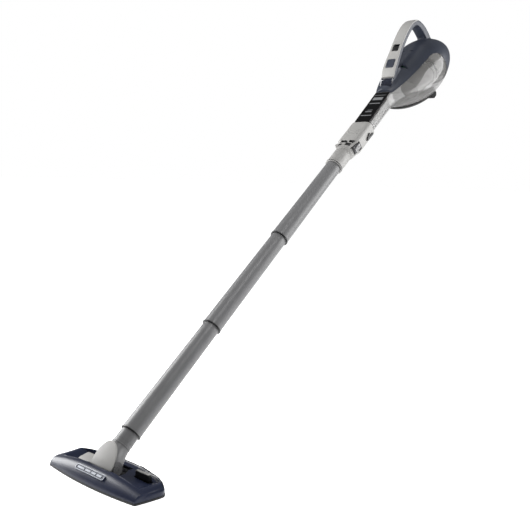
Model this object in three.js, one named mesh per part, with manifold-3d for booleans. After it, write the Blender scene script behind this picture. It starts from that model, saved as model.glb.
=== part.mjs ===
// Cordless stick vacuum: a handheld vacuum with a loop handle, carried on three push-fit
// wand tubes above a hinged floor head. Millimetres, +Z up.
// The origin is on the floor under the pivot of the neck. +Y is behind the floor head and
// +X is to the left of the person who uses it.
// Everything above the pivot is built in the wand's frame: z runs up the wand's axis from
// the pivot, x is across, and y points away from the handle. "up" below is the distance
// from the wand's axis on the handle's side, so up = -y.

import * as THREE from 'three';
import { mergeVertices } from 'three/addons/utils/BufferGeometryUtils.js';
import Module from 'manifold-3d';

const wasm = await Module();
wasm.setup();

// ---------------------------------------------------------------- driving dimensions
const GAP = 0.3; // clearance between pieces that touch
const LEAN = THREE.MathUtils.degToRad(50); // the wand's lean from upright
const PIVOT_HEIGHT = 20.8;

// floor head
const HEAD_HALF_WIDTH = 111;
const HEAD_FRONT = -36.5; // front edge on the centre line
const HEAD_REAR = 54.5; // rear edge on the centre line
const FRONT_CORNER_X = 104;
const SOLE_THICKNESS = 3;
const SHELL_FLOOR = SOLE_THICKNESS + GAP;
const RIDGE_HEIGHT = 23.6;
const HEAD_WALL = 2.2;
const NECK_NOTCH_HALF = 27.5;
const WHEEL_RADIUS = 3.5;

// wand: three equal tapered tubes
const TUBE_RIM = 61; // lowest rim, measured up the wand from the pivot
const TUBE_PITCH = 223;
const TUBE_LAP = 26; // how far each top goes into the next tube
const TUBE_OD = 34; // at its lower rim
const TUBE_TAPER = 3.7; // how much the outside narrows in one pitch
const TUBE_WALL = 1.6;

// adapter between the wand and the handheld's nose
const ADAPTER_RIM = 717;
const SOCKET_RADIUS = 17.4; // of the round socket over the top tube
const FUNNEL_FROM = 755;
const SLEEVE_FROM = 783;
const SLEEVE_TO = 847;
const SLEEVE_HALF = 24.2;
const SLEEVE_WALL = 2;

// handheld vacuum
const NOSE_TIP = 806;
const NOSE_HALF = 19.8;
const BULB_FROM = 951; // where the nose opens into the bulb
const BULB_WIDEST = 1101;
const BULB_TAIL = 1216;
const BULB_RADIUS = 59;
const BULB_BREADTH = 1.03; // its half-width over its half-height
const SHELL_WALL = 2.4;
const SEAM_UP = 13; // height of the joint between the bowl and the body
const BOWL_REAR = 1121;
const HANDLE_HALF = 13.5;
const MOTOR_Y = 40; // the motor's and the filter's axis
const FILTER_REAR = 1117.6;

// ---------------------------------------------------------------- shape helpers
const V = (x, y, z) => new THREE.Vector3(x, y, z);

function toSolid(geometry) {
  const bare = new THREE.BufferGeometry();
  bare.setAttribute('position', geometry.getAttribute('position').clone());
  if (geometry.index) bare.setIndex(geometry.index.clone());
  const merged = mergeVertices(bare, 1e-4);
  return new wasm.Manifold(
    new wasm.Mesh({
      numProp: 3,
      vertProperties: new Float32Array(merged.getAttribute('position').array),
      triVerts: new Uint32Array(merged.index.array),
    }),
  );
}

function toGeometry(solid) {
  const mesh = solid.getMesh();
  const geometry = new THREE.BufferGeometry();
  geometry.setAttribute('position', new THREE.BufferAttribute(mesh.vertProperties, 3));
  geometry.setIndex(new THREE.BufferAttribute(mesh.triVerts, 1));
  geometry.computeVertexNormals();
  return geometry;
}

const union = (...solids) => solids.reduce((sum, next) => sum.add(next));
const cut = (solid, ...tools) => tools.reduce((rest, tool) => rest.subtract(tool), solid);

// A box between two corners.
function box(x0, x1, y0, y1, z0, z1) {
  const g = new THREE.BoxGeometry(x1 - x0, y1 - y0, z1 - z0);
  g.translate((x0 + x1) / 2, (y0 + y1) / 2, (z0 + z1) / 2);
  return toSolid(g);
}

// A solid of revolution about z through (x, y). The profile is [radius, z] pairs, closed.
function turned(profile, segments = 28, x = 0, y = 0) {
  const points = profile.map(([r, z]) => new THREE.Vector2(r, z));
  const closed = points[0].x === 0 && points.at(-1).x === 0;
  if (!closed) points.push(points[0].clone());
  const g = new THREE.LatheGeometry(points, segments);
  g.rotateX(Math.PI / 2);
  g.translate(x, y, 0);
  const solid = toSolid(g);
  return solid.volume() < 0 ? toSolid(flipped(g)) : solid;
}

function flipped(geometry) {
  const g = geometry.clone();
  const index = Array.from(g.index.array);
  for (let i = 0; i < index.length; i += 3) {
    [index[i + 1], index[i + 2]] = [index[i + 2], index[i + 1]];
  }
  g.setIndex(index);
  return g;
}

// A round bar between two points.
function bar(radius, from, to, segments = 20) {
  const length = from.distanceTo(to);
  const along = to.clone().sub(from).normalize();
  const g = new THREE.CylinderGeometry(radius, radius, length, segments);
  g.applyQuaternion(new THREE.Quaternion().setFromUnitVectors(V(0, 1, 0), along));
  g.translate((from.x + to.x) / 2, (from.y + to.y) / 2, (from.z + to.z) / 2);
  return toSolid(g);
}

// A flat outline swept through a depth. The outline is a shape or a list of points.
function extruded(outline, depth) {
  const isShape = outline instanceof THREE.Shape;
  const shape = isShape ? outline : new THREE.Shape(outline.map(([a, b]) => new THREE.Vector2(a, b)));
  return new THREE.ExtrudeGeometry(shape, { depth, bevelEnabled: false, curveSegments: 8 });
}

// An outline in the y-z plane, swept across x from x0 to x1.
function slabX(outline, x0, x1) {
  const g = extruded(outline, x1 - x0);
  g.applyMatrix4(new THREE.Matrix4().makeBasis(V(0, 1, 0), V(0, 0, 1), V(1, 0, 0)));
  g.translate(x0, 0, 0);
  return toSolid(g);
}

// An outline in the x-z plane, swept across y.
function slabY(outline, y0, y1) {
  const g = extruded(outline, y1 - y0);
  g.rotateX(Math.PI / 2);
  g.translate(0, y1, 0);
  return toSolid(g);
}

// An outline in the x-y plane, swept up z.
function slabZ(outline, z0, z1) {
  const g = extruded(outline, z1 - z0);
  g.translate(0, 0, z0);
  return toSolid(g);
}

// A skin through rings of equal point counts, closed by a cap at each end.
function loft(rings) {
  const count = rings[0].length;
  const positions = rings.flat().flatMap((p) => [p.x, p.y, p.z]);
  const index = [];
  for (let r = 0; r + 1 < rings.length; r++) {
    for (let i = 0; i < count; i++) {
      const a = r * count + i;
      const b = r * count + ((i + 1) % count);
      index.push(a, b, b + count, a, b + count, a + count);
    }
  }
  const last = (rings.length - 1) * count;
  const centre = (ring) => ring.reduce((sum, p) => sum.add(p), V(0, 0, 0)).divideScalar(count);
  const first = positions.length / 3;
  for (const c of [centre(rings[0]), centre(rings.at(-1))]) positions.push(c.x, c.y, c.z);
  for (let i = 0; i < count; i++) {
    const j = (i + 1) % count;
    index.push(first, j, i, first + 1, last + i, last + j);
  }
  const g = new THREE.BufferGeometry();
  g.setAttribute('position', new THREE.Float32BufferAttribute(positions, 3));
  g.setIndex(index);
  const solid = toSolid(g);
  return solid.volume() < 0 ? toSolid(flipped(g)) : solid;
}

// A superellipse ring at height z: power 2 is an ellipse, higher is squarer. The side
// towards the handle and the side away from it can differ in power.
function ring(z, halfX, up, down, power = 2, count = 32, powerDown = power) {
  const middle = (up + down) / 2;
  const halfUp = (up - down) / 2;
  return Array.from({ length: count }, (_, i) => {
    const a = (i / count) * 2 * Math.PI;
    const exponent = 2 / (i * 2 < count ? power : powerDown);
    const squared = (value) => (Math.abs(value) < 1e-9 ? 0 : Math.sign(value) * Math.abs(value) ** exponent);
    return V(halfX * squared(Math.cos(a)), -(middle + halfUp * squared(Math.sin(a))), z);
  });
}

const moved = (solid, matrix) => toSolid(toGeometry(solid).applyMatrix4(matrix));

// ---------------------------------------------------------------- materials
const finish = (color, roughness, extra = {}) =>
  new THREE.MeshStandardMaterial({ color, roughness, metalness: 0, ...extra });
const navy = finish(0x2b3244, 0.35);
const charcoal = finish(0x1c1d20, 0.55);
const wandGrey = finish(0x7d7d7f, 0.4);
const paleGrey = finish(0xa8a6a3, 0.45);
const smoke = finish(0x8c8b8a, 0.15, { transparent: true, opacity: 0.45 });
const steel = finish(0x9a9a9c, 0.3, { metalness: 1 });
const rubber = finish(0x202022, 0.8);
const fibre = finish(0xd9d6cc, 0.9);
const green = finish(0x1f5f3a, 0.5);
const blue = finish(0x2f5f9a, 0.5);

const model = new THREE.Group();
const floorHead = new THREE.Group();
const wand = new THREE.Group();
wand.position.z = PIVOT_HEIGHT;
wand.rotation.x = -LEAN;
model.add(floorHead, wand);

function piece(group, name, solid, material) {
  const mesh = new THREE.Mesh(toGeometry(solid), material);
  mesh.name = name;
  group.add(mesh);
}

// ---------------------------------------------------------------- floor head
// Plan outline: the front edge bows gently, the sides splay, and the rear is a wide bow.
const FRONT_BOW = 7.5;
const FRONT_SPLAY = 40;
const REAR_CORNER_X = 106;
const REAR_BOW = 30; // at one millimetre past the rear corner
const REAR_ROUNDING = 4;
const pastCorner = (x, cornerX) => Math.max(0, (Math.abs(x) - cornerX) / (HEAD_HALF_WIDTH - cornerX));
const frontEdge = (x) => {
  const bow = FRONT_BOW * (Math.min(Math.abs(x), FRONT_CORNER_X) / FRONT_CORNER_X) ** 2;
  return HEAD_FRONT + bow + FRONT_SPLAY * pastCorner(x, FRONT_CORNER_X) ** 1.4;
};
const rearEdge = (x) => {
  const bow = REAR_BOW * (x / (REAR_CORNER_X + 1)) ** 2;
  return HEAD_REAR - bow - REAR_ROUNDING * pastCorner(x, REAR_CORNER_X) ** 2;
};

// How far back (as a share of the depth) and how high each point of a section is.
const HEAD_SECTION = [
  [0, SHELL_FLOOR], [0.008, 7.5], [0.04, 13.5], [0.095, 18.6], [0.165, 22.3], [0.236, RIDGE_HEIGHT],
  [0.297, 22.6], [0.332, 20], [0.355, 15], [0.42, 12.8], [0.62, 11.6], [0.91, 10.6], [0.967, 9.6],
  [0.991, 7.8], [1, SHELL_FLOOR],
];
const HEAD_HALF_STATIONS = [20, 40, 60, 76, 90, 99, 104, 106, 108, 109.8, HEAD_HALF_WIDTH];
const HEAD_STATIONS = [...HEAD_HALF_STATIONS.toReversed().map((x) => -x), 0, ...HEAD_HALF_STATIONS];
const SHOULDER_FALL = 0.48; // share of the height lost by the front corner
const END_FALL = 0.2; // and past it

function headSolid(inset, floor) {
  return loft(HEAD_STATIONS.map((x) => {
    const front = frontEdge(x) + inset;
    const rear = rearEdge(x) - inset;
    const shoulder = 1 - SHOULDER_FALL * (Math.abs(x) / FRONT_CORNER_X) ** 2.2;
    const height = shoulder * (1 - END_FALL * pastCorner(x, FRONT_CORNER_X) ** 2);
    return HEAD_SECTION.map(([share, z], i) => {
      const isFoot = i === 0 || i === HEAD_SECTION.length - 1;
      const top = SHELL_FLOOR + (z - SHELL_FLOOR) * height - inset;
      return V(x * (1 - inset / HEAD_HALF_WIDTH), front + share * (rear - front), isFoot ? floor : top);
    });
  }));
}

// the plan outline as a polygon, drawn in by an inset
function headPlan(inset) {
  const scale = 1 - inset / HEAD_HALF_WIDTH;
  const front = HEAD_STATIONS.map((x) => [x * scale, frontEdge(x) + inset]);
  const rear = HEAD_STATIONS.map((x) => [x * scale, rearEdge(x) - inset]);
  return [...front, ...rear.toReversed()];
}

const PEDAL = {
  leftFront: 4, leftRear: 26, rightFront: 20, rightRear: 28, inner: 44, outer: 78, rightOuter: 75,
};
const PEDAL_CLEAR = 1.5;
const NOTCH_FRONT = -13.8;
const NOTCH_REAR = 38;
// The notch is as wide as the boot in front, and as the wand where the wand lies back.
const notchSide = [[NECK_NOTCH_HALF, NOTCH_FRONT], [NECK_NOTCH_HALF, 15], [19, 29], [19, NOTCH_REAR]];

piece(floorHead, 'head_top_shell', cut(
  headSolid(0, SHELL_FLOOR),
  headSolid(HEAD_WALL, SHELL_FLOOR - 2),
  slabZ([...notchSide, ...notchSide.toReversed().map(([x, y]) => [-x, y])], SHELL_FLOOR - 1, 40),
  box(-PEDAL.outer - PEDAL_CLEAR, -PEDAL.inner + PEDAL_CLEAR,
    PEDAL.leftFront - PEDAL_CLEAR, PEDAL.leftRear + PEDAL_CLEAR, 5, 40),
  box(PEDAL.inner - PEDAL_CLEAR, PEDAL.rightOuter + PEDAL_CLEAR,
    PEDAL.rightFront - PEDAL_CLEAR, PEDAL.rightRear + PEDAL_CLEAR, 5, 40),
), navy);

const SLOT_FRONT = -25;
const SLOT_REAR = -13;
const BRUSH_ROWS = { front: -28.5, rear: 34 };
const BRUSH_HALF = 63;
const WHEEL_PLACE = { x: 72, y: -2 };

// An upright pocket through the sole, halfX and halfY either way of (x, y).
const solePocket = (x, y, halfX, halfY, z0 = -1) => box(
  x - halfX, x + halfX, y - halfY, y + halfY, z0, 5);
const soleCuts = [
  box(-96, 96, SLOT_FRONT, SLOT_REAR, -1, 5),
  box(-24, 24, SLOT_REAR - 1, -7, -1, 5),
  ...Object.values(BRUSH_ROWS).map((y) => solePocket(0, y, BRUSH_HALF, 2)),
  ...[-1, 1].map((side) => solePocket(side * WHEEL_PLACE.x, WHEEL_PLACE.y, 5, WHEEL_RADIUS + 1)),
  ...[-1, 1].map((side) => solePocket(side * WHEEL_PLACE.x, WHEEL_PLACE.y, 7.4, 1.5, 2)),
];
const SOLE_SCREWS = [-36, 36];
const SCREW_Y = 42;
const screwHoles = SOLE_SCREWS.map((x) => turned([[0, -1], [2.2, -1], [2.2, 5], [0, 5]], 16, x, SCREW_Y));
const solePlate = slabZ(headPlan(0.6), 0, SOLE_THICKNESS);
piece(floorHead, 'head_sole_plate', cut(solePlate, ...soleCuts, ...screwHoles), charcoal);

SOLE_SCREWS.forEach((x, i) => {
  const shape = [[0, 0.4], [1.8, 0.4], [1.8, 1.6], [1.1, 2.4], [1.1, 7], [0, 7]];
  piece(floorHead, `sole_screw_${i + 1}`, turned(shape, 16, x, SCREW_Y), steel);
});

// The duct leads the air from the slot in the sole to the neck.
piece(floorHead, 'suction_duct', cut(
  union(box(-26.5, 26.5, SLOT_REAR + 0.5, 15.4, SHELL_FLOOR, 6.2), box(-26.5, 26.5, 14, 15.4, 6, 9)),
  box(-24.5, 24.5, SLOT_REAR + 2, 13.5, SHELL_FLOOR + 1.4, 7),
  box(-22, 22, SLOT_REAR - 1, -7.5, SHELL_FLOOR - 1, 7),
), charcoal);

// Two bearing blocks hold the neck's trunnions.
const BEARING_IN = 25.2;
for (const [side, name] of [[-1, 'pivot_bearing_right'], [1, 'pivot_bearing_left']]) {
  const inner = side * BEARING_IN;
  const outer = side * (NECK_NOTCH_HALF - GAP);
  const x0 = Math.min(inner, outer);
  const x1 = Math.max(inner, outer);
  piece(floorHead, name, cut(
    union(
      box(x0, x1, -6, 6, 6.6, PIVOT_HEIGHT),
      bar(6, V(x0, 0, PIVOT_HEIGHT), V(x1, 0, PIVOT_HEIGHT), 24),
    ),
    bar(3.6, V(-40, 0, PIVOT_HEIGHT), V(40, 0, PIVOT_HEIGHT), 20),
  ), wandGrey);
}

for (const [side, name] of [[-1, 'right'], [1, 'left']]) {
  const x = side * WHEEL_PLACE.x;
  const { y } = WHEEL_PLACE;
  const at = (dx) => V(x + dx, y, WHEEL_RADIUS);
  const tyre = cut(bar(WHEEL_RADIUS, at(-4), at(4), 24), bar(1.5, at(-5), at(5), 16));
  piece(floorHead, `wheel_${name}`, tyre, rubber);
  piece(floorHead, `wheel_axle_${name}`, bar(1.2, at(-7), at(7), 12), steel);
}

// A plain raised plaque on the front face.
const PLAQUE = { halfWidth: 34.5, halfHeight: 4.6, corner: 3, y: -27.9, z: 19.2, slope: 41 };
const plaqueShape = new THREE.Shape();
[[1, 1], [-1, 1], [-1, -1], [1, -1]].forEach(([sideX, sideY], quarter) => {
  const x = sideX * (PLAQUE.halfWidth - PLAQUE.corner);
  const y = sideY * (PLAQUE.halfHeight - PLAQUE.corner);
  plaqueShape.absarc(x, y, PLAQUE.corner, (quarter * Math.PI) / 2, ((quarter + 1) * Math.PI) / 2);
});
const plaque = new THREE.ExtrudeGeometry(plaqueShape, { depth: 1.7, bevelEnabled: false, curveSegments: 4 });
plaque.rotateX(THREE.MathUtils.degToRad(PLAQUE.slope));
plaque.translate(0, PLAQUE.y, PLAQUE.z);
piece(floorHead, 'front_plaque', cut(toSolid(plaque), headSolid(-GAP, SHELL_FLOOR)), navy);

// One rocker carries both pedals and drops the brush strips for hard floors.
const ROCKER = { front: 20.2, rear: 23.2, floor: 5.25, top: 6.45, half: 47, arm: 2.5, armTop: 9 };
const rockerArm = (x0, y0, y1) => box(x0, x0 + ROCKER.arm, y0, y1, ROCKER.floor, ROCKER.armTop);
piece(floorHead, 'pedal_rocker', union(
  box(-ROCKER.half, ROCKER.half, ROCKER.front, ROCKER.rear, ROCKER.floor, ROCKER.top),
  rockerArm(-ROCKER.half, PEDAL.leftFront + 11, ROCKER.rear),
  rockerArm(ROCKER.half - ROCKER.arm, ROCKER.front, PEDAL.rightRear - 2),
), charcoal);
const PEDAL_FLOOR = ROCKER.armTop + GAP;
piece(floorHead, 'pedal_left', box(
  -PEDAL.outer, -PEDAL.inner, PEDAL.leftFront, PEDAL.leftRear, PEDAL_FLOOR, 13), paleGrey);
piece(floorHead, 'pedal_right', slabX([
  [PEDAL.rightFront, PEDAL_FLOOR], [PEDAL.rightRear, PEDAL_FLOOR], [PEDAL.rightRear - 0.8, 20],
  [PEDAL.rightFront + 1.2, 20.6], [PEDAL.rightFront, 19],
], PEDAL.inner, PEDAL.rightOuter), charcoal);

const STRIP_HALF_DEPTH = 1.2; // front to back, of a row of bristles and of the bar that holds it
const CARRIAGE = { floor: 5.8, arm: 6.6, top: 7.2, armIn: 50, armOut: 53, half: 61 };
const brushRow = (half, y, z0, z1) => box(-half, half, y - STRIP_HALF_DEPTH, y + STRIP_HALF_DEPTH, z0, z1);
const carriageArm = (x0, x1) => box(x0, x1, BRUSH_ROWS.front, BRUSH_ROWS.rear, CARRIAGE.floor, CARRIAGE.arm);
piece(floorHead, 'brush_carriage', union(
  brushRow(CARRIAGE.half, BRUSH_ROWS.rear, CARRIAGE.floor, CARRIAGE.top),
  brushRow(CARRIAGE.half, BRUSH_ROWS.front, CARRIAGE.floor, CARRIAGE.top),
  carriageArm(-CARRIAGE.armOut, -CARRIAGE.armIn), carriageArm(CARRIAGE.armIn, CARRIAGE.armOut),
), charcoal);
for (const [name, y] of Object.entries(BRUSH_ROWS)) {
  piece(floorHead, `brush_strip_${name}`, brushRow(60, y, 0.3, CARRIAGE.floor - GAP), charcoal);
}

// ---------------------------------------------------------------- neck
const STUB_RADIUS = TUBE_OD / 2 - TUBE_WALL - 0.3; // of each piece that goes into a tube
const NECK_PLATE = { base: V(0, -7, -7), top: V(0, -18.5, 30), thickness: 2, halfWidth: 25 };

function neckPlateSolid(thickness, inset, offset) {
  const along = NECK_PLATE.top.clone().sub(NECK_PLATE.base);
  const height = along.length() - inset;
  const half = NECK_PLATE.halfWidth - inset;
  const shape = new THREE.Shape();
  shape.absellipse(0, 0, half, height, 0, Math.PI);
  shape.lineTo(-half, -3);
  shape.lineTo(half, -3);
  const g = new THREE.ExtrudeGeometry(shape, { depth: thickness, bevelEnabled: false, curveSegments: 14 });
  g.translate(0, 3, offset - thickness);
  const up = along.normalize();
  g.applyMatrix4(new THREE.Matrix4().makeBasis(V(1, 0, 0), up, V(1, 0, 0).cross(up)));
  g.translate(NECK_PLATE.base.x, NECK_PLATE.base.y, NECK_PLATE.base.z);
  return toSolid(g);
}

const BOOT_HALF = 24.8;
const STUB_TOP = TUBE_RIM + TUBE_LAP;
const bootOuter = union(
  loft([
    ring(-5, BOOT_HALF, 9, -11, 6), ring(8, BOOT_HALF - 0.6, 12, -12, 5), ring(19, 21, 15.6, -13.6, 3),
    ring(28, 17.4, 17, -14.8, 2.3), ring(35, 15.6, 15.6, -15.6),
  ]),
  bar(12.4, V(-BOOT_HALF, 0, 0), V(BOOT_HALF, 0, 0), 28),
  turned([[0, 34], [STUB_RADIUS + 0.1, 34], [STUB_RADIUS - 0.2, STUB_TOP], [0, STUB_TOP]], 32),
);
const bootInner = union(
  loft([
    ring(-16, 19, 6, -8, 5), ring(8, 20, 8, -9.5, 5), ring(22, 16.5, 12.5, -12.5, 3), ring(35, 13, 13, -13),
  ]),
  turned([[0, 34], [13, 34], [13, 100], [0, 100]], 32),
);
const pinSocket = (side) => bar(3.9, V(side * (BOOT_HALF - 2.5), 0, 0), V(side * (BOOT_HALF + 1), 0, 0));
piece(wand, 'neck_boot', cut(
  bootOuter, bootInner, neckPlateSolid(60, -3, 60 - NECK_PLATE.thickness - GAP), pinSocket(-1), pinSocket(1),
), wandGrey);
piece(wand, 'neck_front_plate', neckPlateSolid(NECK_PLATE.thickness, 0, 0), paleGrey);
piece(wand, 'neck_ring', turned(
  [[STUB_RADIUS + 0.4, 36], [15.9, 36], [15.9, 38.2], [STUB_RADIUS + 0.4, 38.2]], 32), paleGrey);
for (const [side, name] of [[-1, 'trunnion_right'], [1, 'trunnion_left']]) {
  const pin = bar(3.2, V(side * (BOOT_HALF - 2.2), 0, 0), V(side * (NECK_NOTCH_HALF - GAP), 0, 0));
  piece(wand, name, pin, steel);
}

// ---------------------------------------------------------------- wand tubes
['tube_lower', 'tube_middle', 'tube_upper'].forEach((name, i) => {
  const from = TUBE_RIM + i * TUBE_PITCH;
  const to = from + TUBE_PITCH + (i === 2 ? TUBE_LAP - 6 : TUBE_LAP);
  const radius = (z) => TUBE_OD / 2 - (TUBE_TAPER / 2) * ((z - from) / TUBE_PITCH);
  piece(wand, name, turned([
    [radius(from) - TUBE_WALL, from], [radius(from), from], [radius(to), to], [radius(to) - TUBE_WALL, to],
  ], 32), wandGrey);
});

// ---------------------------------------------------------------- adapter
const ADAPTER_OUT = { up: 15.6, down: -22 };
const SLEEVE_POWER = [5, 32, 2.3]; // a flat top, 32 points round, a rounded underside
const sleeveRing = (z, inset) => ring(
  z, SLEEVE_HALF - inset, ADAPTER_OUT.up - inset, ADAPTER_OUT.down + inset, ...SLEEVE_POWER);
const LUG = { x: -21.5, z: 776, radius: 4.6, from: -10, to: -2 };
const adapterOuter = union(
  turned([
    [0, ADAPTER_RIM], [SOCKET_RADIUS, ADAPTER_RIM], [SOCKET_RADIUS, FUNNEL_FROM + 4], [0, FUNNEL_FROM + 4],
  ], 32),
  loft([
    ring(FUNNEL_FROM, SOCKET_RADIUS, SOCKET_RADIUS, -SOCKET_RADIUS), ring(765, 18.8, 16.4, -18.8, 2.5),
    ring(SLEEVE_FROM - 6, 21, 14.6, -20, 3.6, 32, 2.3), sleeveRing(SLEEVE_FROM, 0), sleeveRing(SLEEVE_TO, 0),
  ]),
  bar(LUG.radius, V(LUG.x, LUG.from, LUG.z), V(LUG.x, LUG.to, LUG.z), 16),
);
const TUBE_STOP = 752; // the top tube rests below this ledge
const THROAT = { radius: 13, to: 792 };
const adapterInner = union(
  turned([
    [0, ADAPTER_RIM - 1], [15.6, ADAPTER_RIM - 1], [15.3, TUBE_STOP], [THROAT.radius, TUBE_STOP + 3],
    [THROAT.radius, THROAT.to], [0, THROAT.to],
  ], 32),
  loft([sleeveRing(SLEEVE_FROM + 4, SLEEVE_WALL), sleeveRing(SLEEVE_TO + 1, SLEEVE_WALL)]),
);
const LOCK = { z: 779, y: 0.5, half: 8, halfLength: 10, foot: 17.4, reach: 25, chamfer: 3 };
piece(wand, 'adapter_sleeve', cut(adapterOuter, adapterInner, box(
  LOCK.foot - 2.2, 40, LOCK.y - LOCK.half - GAP, LOCK.y + LOCK.half + GAP,
  LOCK.z - LOCK.halfLength - GAP, LOCK.z + LOCK.halfLength + GAP)), paleGrey);
const lockSide = [
  [LOCK.foot, LOCK.half], [LOCK.reach - LOCK.chamfer, LOCK.half], [LOCK.reach, LOCK.half - LOCK.chamfer],
];
piece(wand, 'adapter_lock_button', slabZ([
  ...lockSide.map(([x, half]) => [x, LOCK.y - half]),
  ...lockSide.toReversed().map(([x, half]) => [x, LOCK.y + half]),
], LOCK.z - LOCK.halfLength, LOCK.z + LOCK.halfLength), charcoal);
// A V-shaped spring clip rides on the side of the sleeve.
const CLIP_OUTLINE = [[8.6, 813], [9.6, 838], [6, 838], [4.6, 822], [0.4, 829], [-1.4, 827], [4.8, 813]];
piece(wand, 'adapter_side_clip', cut(
  slabX(CLIP_OUTLINE, 12, SLEEVE_HALF + 2.6),
  loft([sleeveRing(SLEEVE_FROM + 1, -GAP), sleeveRing(SLEEVE_TO + 4, -GAP)]),
), charcoal);

// ---------------------------------------------------------------- the bulb's outer form
// The radius swells from the nose, is greatest at BULB_WIDEST and closes at the tail, while
// the centre line sinks away from the handle.
const THROAT_RADIUS = 20; // where the nose opens into the bulb
const BULB_CENTRE = { throat: 3.6, widest: -25.4, tail: -42.8 };
const TAIL_POWER = 1.7; // of the superellipse that closes the tail

function bulbAt(z) {
  if (z <= BULB_WIDEST) {
    const share = (Math.max(z, BULB_FROM) - BULB_FROM) / (BULB_WIDEST - BULB_FROM);
    const swell = Math.sin((share * Math.PI) / 2) ** 0.7;
    return {
      radius: THREE.MathUtils.lerp(THROAT_RADIUS, BULB_RADIUS, swell),
      centre: THREE.MathUtils.lerp(BULB_CENTRE.throat, BULB_CENTRE.widest, swell),
    };
  }
  const t = Math.min(1, (z - BULB_WIDEST) / (BULB_TAIL - BULB_WIDEST));
  return {
    radius: BULB_RADIUS * Math.max(0, 1 - t ** TAIL_POWER) ** (1 / TAIL_POWER),
    centre: THREE.MathUtils.lerp(BULB_CENTRE.widest, BULB_CENTRE.tail, t * t),
  };
}

const BULB_STATIONS = [
  951, 954, 959, 967, 980, 1000, 1025, 1060, 1101, 1127, 1150, 1170, 1186, 1199, 1208, 1213.5,
];

function bulbSolid(inset) {
  return loft(BULB_STATIONS.map((z) => {
    const { radius, centre } = bulbAt(z);
    const r = Math.max(0.4, radius - inset);
    const depth = z > BULB_WIDEST ? z - (inset * (z - BULB_WIDEST)) / (BULB_TAIL - BULB_WIDEST) : z;
    return ring(depth, r * BULB_BREADTH, centre + r, centre - r, 2, 32);
  }));
}

// Side outline of the space below the seam and ahead of the rear joint, where the bowl is.
function bowlOutline(grow) {
  const seam = SEAM_UP + grow;
  const rear = BOWL_REAR + grow;
  const shape = new THREE.Shape();
  shape.moveTo(90, 780);
  shape.lineTo(-seam, 780);
  shape.lineTo(-seam, rear - 32);
  shape.quadraticCurveTo(-seam + 3, rear - 8, -seam + 16, rear - 3);
  shape.quadraticCurveTo(-seam + 26, rear, -seam + 36, rear);
  shape.lineTo(90, rear + 8);
  return shape;
}

// ---------------------------------------------------------------- dust bowl
const noseRing = (z, half, up, down, inset) => ring(z, half - inset, up - inset, down + inset, 5, 32, 2.3);
const noseSolid = (inset) => loft([
  noseRing(NOSE_TIP - (inset > 0 ? 1 : 0), NOSE_HALF, 12.8, -19.4, inset),
  noseRing(SLEEVE_TO + 1, NOSE_HALF, 13, -19.3, inset), noseRing(900, NOSE_HALF, 15, -19, inset),
  noseRing(940, NOSE_HALF + 0.2, 17, -20, inset), noseRing(BULB_FROM + 8, NOSE_HALF + 0.6, 17, -24, inset),
]);
const bowlSpace = slabX(bowlOutline(-GAP / 2), -90, 90);
const bowlOuter = union(noseSolid(0), bulbSolid(0));
const bowlInner = union(noseSolid(2), bulbSolid(2.2));
// The black label sits in a shallow recess along the top of the nose.
const LABEL = { from: 849, to: 949, half: 17.5 };
const labelRecess = slabX([
  [-12.3, LABEL.from], [-14.9, LABEL.to], [-40, LABEL.to], [-40, LABEL.from],
], -LABEL.half - GAP, LABEL.half + GAP);
const behindNose = box(-90, 90, -90, 130, BULB_FROM - 0.5, 1260);
piece(wand, 'dust_bowl', cut(bowlOuter, bowlInner, cut(behindNose, bowlSpace), labelRecess), smoke);
piece(wand, 'nose_label', slabX([
  [-12.6, LABEL.from], [-15.2, LABEL.to], [-17.2, LABEL.to], [-14.4, LABEL.from],
], -LABEL.half, LABEL.half), charcoal);

// A black skid hugs the bowl's underside from the nose, and ends in the resting foot.
const SKID_PLAN = [[5, 962], [12, 968], [22, 986], [32, 1020], [35, 1056], [30, 1088], [20, 1095]];
const SKID_THICKNESS = 2;
const skidColumn = slabY([...SKID_PLAN, ...SKID_PLAN.toReversed().map(([x, z]) => [-x, z])], 20, 130);
piece(wand, 'under_skid', cut(
  bulbSolid(-GAP - SKID_THICKNESS).intersect(skidColumn), bulbSolid(-GAP), noseSolid(-GAP),
), charcoal);
const FOOT = { from: 1097, to: 1120, half: 14, reach: 106 };
piece(wand, 'rest_foot', cut(slabX([
  [60, FOOT.from + 2], [FOOT.reach - 8, FOOT.from], [FOOT.reach, FOOT.from + 8],
  [FOOT.reach, FOOT.to - 4], [FOOT.reach - 6, FOOT.to], [60, FOOT.to - 7],
], -FOOT.half, FOOT.half), bulbSolid(-GAP)), rubber);

// The pull-out crevice nozzle lives inside the nose.
const crevice = (z0, z1, inset) => loft([
  ring(z0, NOSE_HALF - 2.7 - inset, 10 - inset, -16.4 + inset, 5, 32, 2.3),
  ring(z1, NOSE_HALF - 2.7 - inset, 10.4 - inset, -16 + inset, 5, 32, 2.3),
]);
piece(wand, 'crevice_nozzle', cut(crevice(812, 932, 0), crevice(811, 933, 1.8)), smoke);
// A rubber flap keeps the dust in the bowl. It hangs from its top edge.
piece(wand, 'inlet_flap', box(-13, 13, -11.4, 12, 938, 939.6), rubber);

// ---------------------------------------------------------------- handle and body shells
const HANDLE_PATH = [ // up and z of its centre line
  [16, 978], [25, 984], [36, 996], [46, 1016], [55, 1038], [64.5, 1063], [72, 1090], [74.8, 1116],
  [69, 1137], [52, 1150], [32, 1157], [8, 1161],
];
const handleCurve = new THREE.CatmullRomCurve3(
  HANDLE_PATH.map(([up, z]) => V(0, -up, z)), false, 'centripetal');
const handleThickness = (t) => 11.6 + 6.4 * THREE.MathUtils.smoothstep(t, 0.62, 0.95);

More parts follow.
